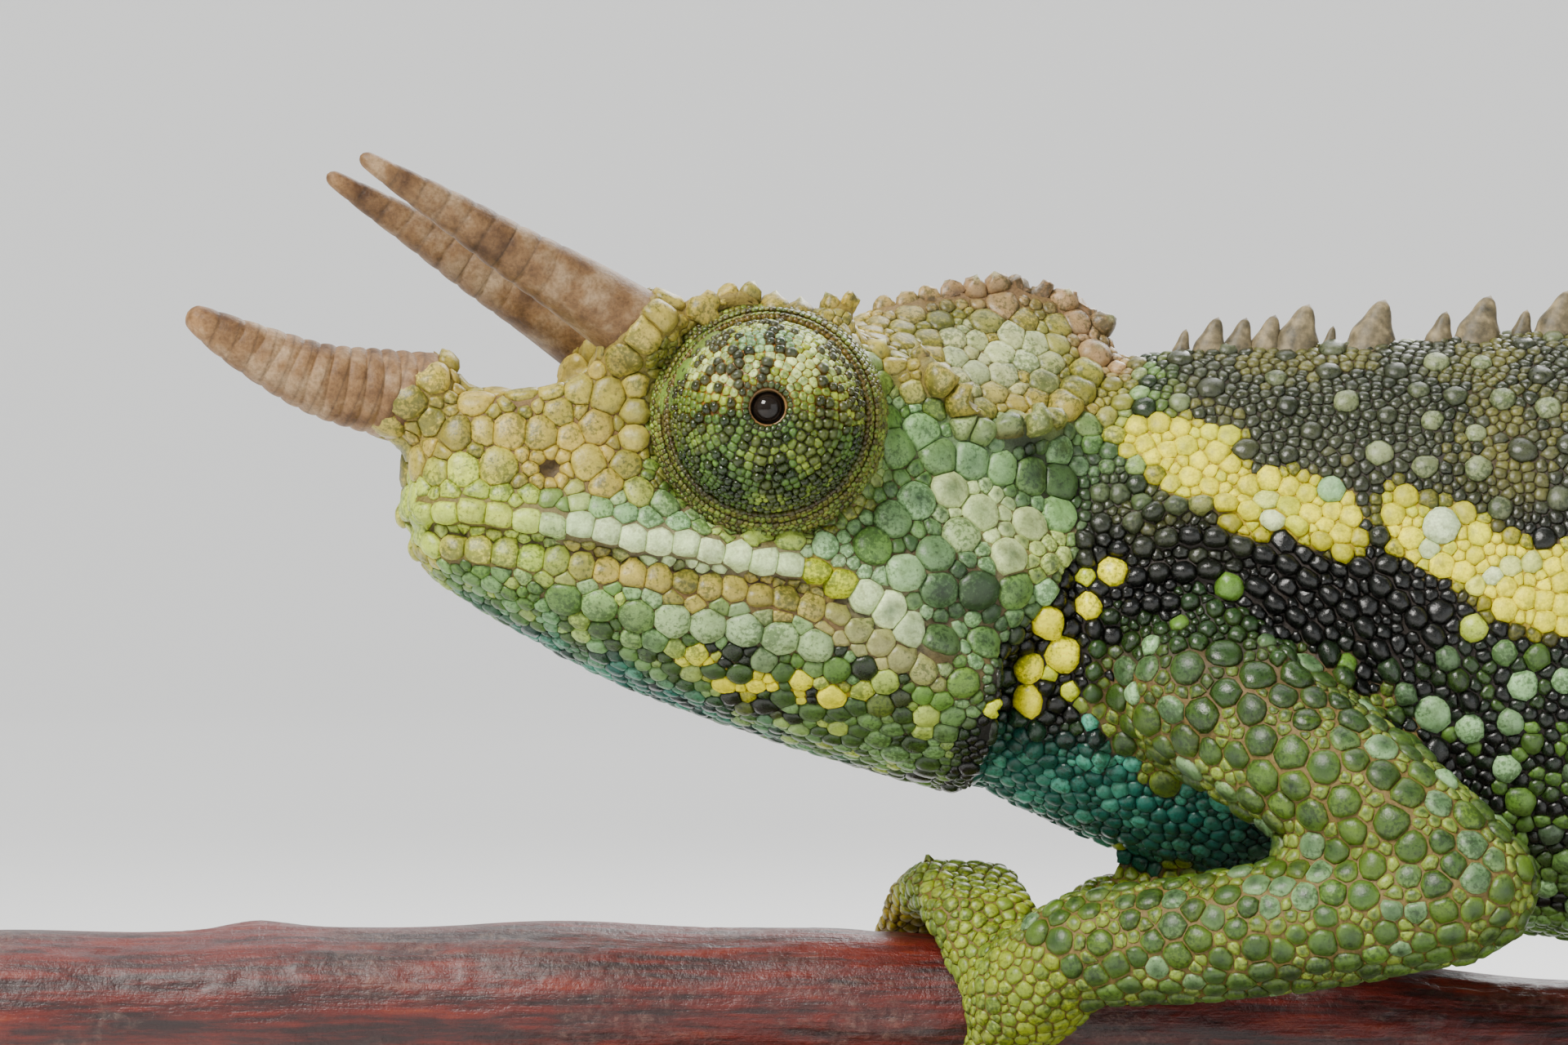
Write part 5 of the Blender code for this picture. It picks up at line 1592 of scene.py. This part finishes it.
def turretBeads(side):
    # rings of beads, finer towards the rim
    lengths = np.concatenate([[0], np.cumsum(np.hypot(*np.diff(np.array(turretLine), axis=0).T))])
    at, reach = lengths[2] + 0.1, lengths[-1] - 0.4
    radii, depths, angles, sizes = [], [], [], []
    while at < reach:
        radius = np.interp(at, lengths, [r for r, _ in turretLine])
        depth = np.interp(at, lengths, [d for _, d in turretLine])
        pitch = np.interp(radius, (1.2, 1.8, 3.0, 4.0, 4.8, 8.0), (0.32, 0.48, 0.54, 0.44, 0.3, 0.32))
        count = int(math.tau * radius / pitch)
        turn = rng.random() * math.tau
        for k in range(count):
            radii.append(radius)
            depths.append(depth)
            angles.append(turn + (k + rng.uniform(-0.16, 0.16)) * math.tau / count)
            sizes.append(pitch / 2 * rng.uniform(0.8, 1.15))
        at += pitch * 0.92
    radii, depths, angles, sizes = (np.array(values) for values in (radii, depths, angles, sizes))
    places = onTurret(side, radii, depths, angles)
    step = 0.02
    slope = np.interp(radii + step, *zip(*turretLine)) - np.interp(radii - step, *zip(*turretLine))
    ahead = onTurret(side, radii + step, depths + slope / 2, angles) - places
    beside = onTurret(side, radii, depths, angles + 0.01) - places
    normals = unit(np.cross(ahead, beside))
    outward = fromHead(turret["centre"] * [1, side, 1])
    normals *= np.sign(((places - outward) * normals).sum(axis=1, keepdims=True))
    return places, normals, sizes, radii, angles


def lidFinish():
    finish = Finish("lid_finish", Roughness=0.4)
    fine = finish.noise(5200.0, 3.0)
    shade = finish.ramped(fine, (0.35, (0.6, 0.55, 0.5)), (0.6, (1.15, 1.1, 1.0)))
    finish.feed("Base Color", finish.stained(finish.tint(), shade, 0.8))
    finish.bumped(fine, 0.5, 0.00007)
    return finish.material


def makeTurret(side):
    word = "left" if side < 0 else "right"
    line = ((0.0, 4.5), *turretLine, (5.4, -1.5), (0.0, -1.8))
    data = onTurretSpun("turret_" + word, line, turretSizes["sides"], side)
    points = toHead(fromRow(data.vertices))
    centre, across, up, _ = turretFrame(side)
    radius = turretOffset(points)
    angle = np.arctan2((points - centre) @ up, (points - centre) @ across)
    share = ramp(radius, 4.7, 5.0)[:, None]
    # the lid is brown above and dark olive below, partly its own colour and partly painted light and shade
    # from above
    upper = ramp(np.sin(angle), -0.5, 0.3)[:, None]
    dome = paint(140, 92, 40) * upper + paint(50, 46, 24) * (1 - upper)
    colour = dome * (1 - share) + paint(84, 66, 44) * share
    colour = colour * (0.2 + 0.8 * ramp(radius, 1.0, 1.5))[:, None]
    addTint(data, colour, 0.4)
    finishPiece("turret_" + word, data, lidFinish(), "eyelid_skin", "eye_turret_" + word)
    places, normals, sizes, radii, angles = turretBeads(side)
    count = len(places)
    chance = rng.random(count)
    colours, gloss, isDark = turretMarks(radii, angles, chance)
    green = (ramp(rng.permutation(chance), 0.15, 0.6) * (radii < 4.9) * (1 - isDark))[:, None] * 0.85
    hearts = colours * 1.1 * (1 - green) + paints["leaf"] * 0.5 * green
    sizes *= 0.94 + 0.3 * isDark
    # the beads' seams are warm brown above and dark below, partly painted light and shade from above
    warm = ramp(np.sin(angles), -0.5, 0.3)[:, None] * (1 - ramp(radii, 4.7, 5.0)[:, None] * 0.6)
    seam = paint(150, 110, 52) * warm + paint(58, 52, 26) * (1 - warm)
    maps = np.stack([angles / math.tau % 1.0, (radii - 1) / 7], axis=1) * 0.94 + 0.03
    beads = growScales("turret_beads_" + word, "small", {
        "places": places, "normals": normals, "radii": sizes, "rises": 0.6 + 0.4 * isDark,
        "peaks": np.zeros(count), "near": neighboursOf(places, 9), "colours": colours, "hearts": hearts,
        "seams": seam, "gloss": gloss, "tightness": np.full(count, scaleSizes["overlap"]),
    }, np.arange(count), maps, False)
    finishPiece("turret_beads_" + word, beads, scaleMaterial, "eyelid_skin")
    lens = onTurretSpun("lens_" + word, lensLine, turretSizes["lensSides"], side)
    finishPiece("lens_" + word, lens, lensMaterial, "eye", "eye_" + word)
    rimLine = [(0.95 + 0.075 * math.cos(a), 5.1 + 0.09 * math.sin(a)) for a in np.arange(13) * math.tau / 12]
    rim = onTurretSpun("eye_rim_" + word, rimLine, turretSizes["lensSides"], side)
    finishPiece("eye_rim_" + word, rim, rimMaterial, "eyelid_skin")


def lensFinish():
    finish = Finish("lens_finish", Roughness=0.06, Specular_IOR_Level=0.3)
    haze = finish.noise(900.0, 2.0)
    finish.feed("Base Color", finish.mixed((0.003, 0.003, 0.004), (0.02, 0.014, 0.009), haze))
    return finish.material


def rimFinish():
    finish = Finish("rim_finish", Roughness=0.3)
    fleck = finish.noise(3500.0, 3.0)
    finish.feed("Base Color", finish.mixed(paint(150, 120, 80), paint(96, 66, 40), fleck))
    finish.bumped(fleck, 0.3, 0.00003)
    return finish.material


lensMaterial, rimMaterial = lensFinish(), rimFinish()
for side in (-1, 1):
    makeTurret(side)
print("eyes done")

# The perch: a length of glossy reddish branch

perchSizes = {"sides": 96, "steps": 420, "start": -92.5, "end": 53.5, "groove": 0.09, "lump": 0.16}
# the branch's knots: place beside its axis, and size
knots = ((-73.0, 1.6, 3.7, 0.7), (-12.0, -2.2, -3.2, 0.9), (46.5, 1.2, 3.4, 0.7))


def perchFinish():
    finish = Finish("perch_finish", Roughness=0.4, Coat_Weight=0.15, Coat_Roughness=0.22)
    patch = finish.noise(170.0, 6.0, 0.65, (0.6, 1.3, 1.3))
    streak = finish.noise(240.0, 6.0, 0.7, (0.25, 3.0, 3.0))
    fibre = finish.noise(1200.0, 4.0, 0.65, (0.16, 2.0, 2.0))
    fleck = finish.noise(2000.0, 4.0, 0.7)
    colour = finish.ramped(
        streak * 0.55 + fibre * 0.45, (0.3, paint(12, 6, 4, 1.3)), (0.44, paint(42, 19, 11, 1.3)),
        (0.56, paint(86, 35, 19, 1.3)), (0.7, paint(120, 57, 34, 1.2))
    )
    # pale mauve-grey patches, laid by a noise: a painted sheen standing in for the glossy bark's highlights
    paleSheen = finish.ramped(
        fleck, (0.38, paint(24, 17, 17)), (0.52, paint(62, 50, 48)), (0.66, paint(104, 88, 80))
    )
    share = (patch * 7 - 3.7).math("MAXIMUM", 0.0).math("MINIMUM", 0.5)
    finish.feed("Base Color", finish.mixed(colour, paleSheen, share))
    finish.feed("Roughness", 0.28 + fleck * 0.3)
    finish.bumped(fibre * 0.7 + fleck * 0.7, 0.8, 0.00018)
    return finish.material


def cutFinish():
    finish = Finish("cut_finish", Roughness=0.7)
    rings = finish.noise(700.0, 4.0)
    finish.feed("Base Color", finish.mixed(paint(196, 164, 120), paint(150, 112, 74), rings))
    finish.bumped(rings, 0.4, 0.0001)
    return finish.material


def makePerch():
    whole = perchSizes["end"] - perchSizes["start"]

    def centreAt(t):
        return branchAxis(perchSizes["start"] + whole * t)

    def radiusAt(t, angle):
        x = perchSizes["start"] + whole * t
        radius = branchRadius * (1 + 0.03 * math.sin(0.19 * x) + 0.02 * math.sin(0.43 * x + 1.0))
        end = min(t * whole, (1 - t) * whole)
        return radius - max(0.0, 0.35 - end) ** 2 * 1.5

    bar = drawnBar(perchSizes["sides"], whole, perchSizes["steps"], centreAt, radiusAt)
    data = solidPiece("perch", [bar])
    points = fromRow(data.vertices)
    flat = np.array([curveAt(branchLine, x) for x in points[:, 0]])
    out = unit((points - np.stack([points[:, 0], 0 * flat, flat], axis=1)) * [0, 1, 1])
    angle = np.arctan2(out[:, 2], out[:, 1])
    bark = np.stack([points[:, 0] * 0.1, np.cos(angle) * 4, np.sin(angle) * 4], axis=1)
    groove = cloud(bark, 0.42, 11) + 0.6 * cloud(bark * [4, 1, 1], 0.25, 12)
    lump = cloud(points * [0.35, 1, 1], 3.2, 13)
    shift = perchSizes["lump"] * (lump - 0.6) - perchSizes["groove"] * (1 - ramp(groove, 0.5, 0.9))
    for x, y, z, size in knots:
        place = np.array([x, y, curveAt(branchLine, x) + z])
        away = np.linalg.norm((points - place) * [0.33, 0.5, 0.5], axis=1)
        shift += 0.8 * size * np.exp(-(away / 0.8) ** 2) * (0.7 + 0.5 * lump)
    inside = (points[:, 0] > perchSizes["start"] + 0.5) & (points[:, 0] < perchSizes["end"] - 0.5)
    points += out * (shift * inside)[:, None]
    data.vertices.foreach_set("co", toRow(points).ravel())
    data.update()
    finishPiece("perch", data, perchFinish(), "branch_wood", "branch")
    data.materials.append(cutFinish())
    facing = readArray(data.polygons, "normal", 3)
    data.polygons.foreach_set("material_index", (np.abs(facing[:, 0]) > 0.9).astype(np.int32))


makePerch()
print("perch done")

# The stand keeps its CAD shapes: its base looks like dark wood and its rods like brushed steel

def standFinish():
    finish = Finish("stand_finish", Roughness=0.5)
    grain = finish.noise(60.0, 6.0, 0.6, (1.0, 9.0, 9.0))
    pore = finish.noise(420.0, 3.0, 0.6, (0.5, 6.0, 6.0))
    finish.feed("Base Color", finish.ramped(
        grain * 0.7 + pore * 0.3, (0.3, paint(58, 48, 40)), (0.55, paint(84, 70, 58)),
        (0.75, paint(104, 88, 72))
    ))
    finish.feed("Roughness", 0.38 + pore * 0.25)
    finish.bumped(pore, 0.25, 0.0001)
    return finish.material


def rodFinish():
    finish = Finish("rod_finish", Metallic=1.0, Roughness=0.3)
    brushed = finish.noise(900.0, 3.0, 0.6, (8.0, 8.0, 0.4))
    finish.feed("Base Color", finish.mixed((0.33, 0.31, 0.28), (0.45, 0.43, 0.4), brushed))
    finish.feed("Roughness", 0.24 + brushed * 0.2)
    finish.bumped(brushed, 0.15, 0.00003)
    return finish.material


standMaterial, rodMaterial = standFinish(), rodFinish()
for name in nodes:
    if name.startswith("stand"):
        for place in nodes[name].material_slots:
            place.material = rodMaterial if "rod" in name else standMaterial
print("stand done")

# Camera, light and floor

camera = bpy.data.cameras.new("camera")
camera.lens = shot["lens"]
camera.sensor_width = 36.0
camera.clip_start, camera.clip_end = 0.01, 20.0
view = newObject("camera", camera)
view.location = toRow(shot["eye"][None])[0].tolist()
view.rotation_euler = (math.radians(90), 0, 0)
bpy.context.scene.camera = view


def addLight(name, place, target, size, power, colour=(1, 1, 1)):
    light = bpy.data.lights.new(name, "AREA")
    light.size = size
    light.energy = power
    light.color = colour
    obj = newObject(name, light)
    obj.location = place
    obj.rotation_euler = (Vector(target) - Vector(place)).to_track_quat("-Z", "Y").to_euler()


addLight("key", (-0.3, -0.36, 0.46), (-0.02, 0, 0.05), 0.2, 6.0, (1.0, 0.97, 0.92))
addLight("fill", (0.4, -0.5, 0.16), (0, 0, 0.05), 0.5, 1.2, (0.92, 0.96, 1.0))
addLight("rim", (0.15, 0.42, 0.4), (0, 0, 0.06), 0.3, 3.0)
addLight("sweep", (0.0, 0.7, 1.7), (0.0, 2.0, 0.5), 1.4, 36.0)
world = bpy.data.worlds.new("studio")
world.use_nodes = True
world.node_tree.nodes["Background"].inputs[0].default_value = (0.92, 0.95, 1.0, 1)
world.node_tree.nodes["Background"].inputs[1].default_value = 0.28
bpy.context.scene.world = world

floorSizes = {"flat": 1.6, "bend": 0.8, "height": 2.6, "sides": 72}


def makeFloor():
    # a flat round floor that sweeps up into a backdrop on every side
    flat, bend = floorSizes["flat"], floorSizes["bend"]
    line = [(0.0, 0.0), (flat / 2, 0.0), (flat, 0.0)]
    for angle in np.arange(1, 13) * math.pi / 24:
        line.append((flat + bend * math.sin(angle), bend * (1 - math.cos(angle))))
    line.append((line[-1][0], floorSizes["height"]))
    sheet = spun(line, floorSizes["sides"])
    bmesh.ops.recalc_face_normals(sheet, faces=sheet.faces)
    sheet.faces.ensure_lookup_table()
    if sheet.faces[0].normal.z < 0:
        bmesh.ops.reverse_faces(sheet, faces=sheet.faces)
    data = asMesh("floor", sheet)
    data.shade_smooth()
    finish = Finish("floor_finish", Roughness=0.8)
    grain = finish.noise(3.0)
    finish.feed("Base Color", finish.mixed((0.80, 0.80, 0.79), (0.84, 0.84, 0.83), grain))
    data.materials.append(finish.material)
    floor = newObject("floor", data)


makeFloor()
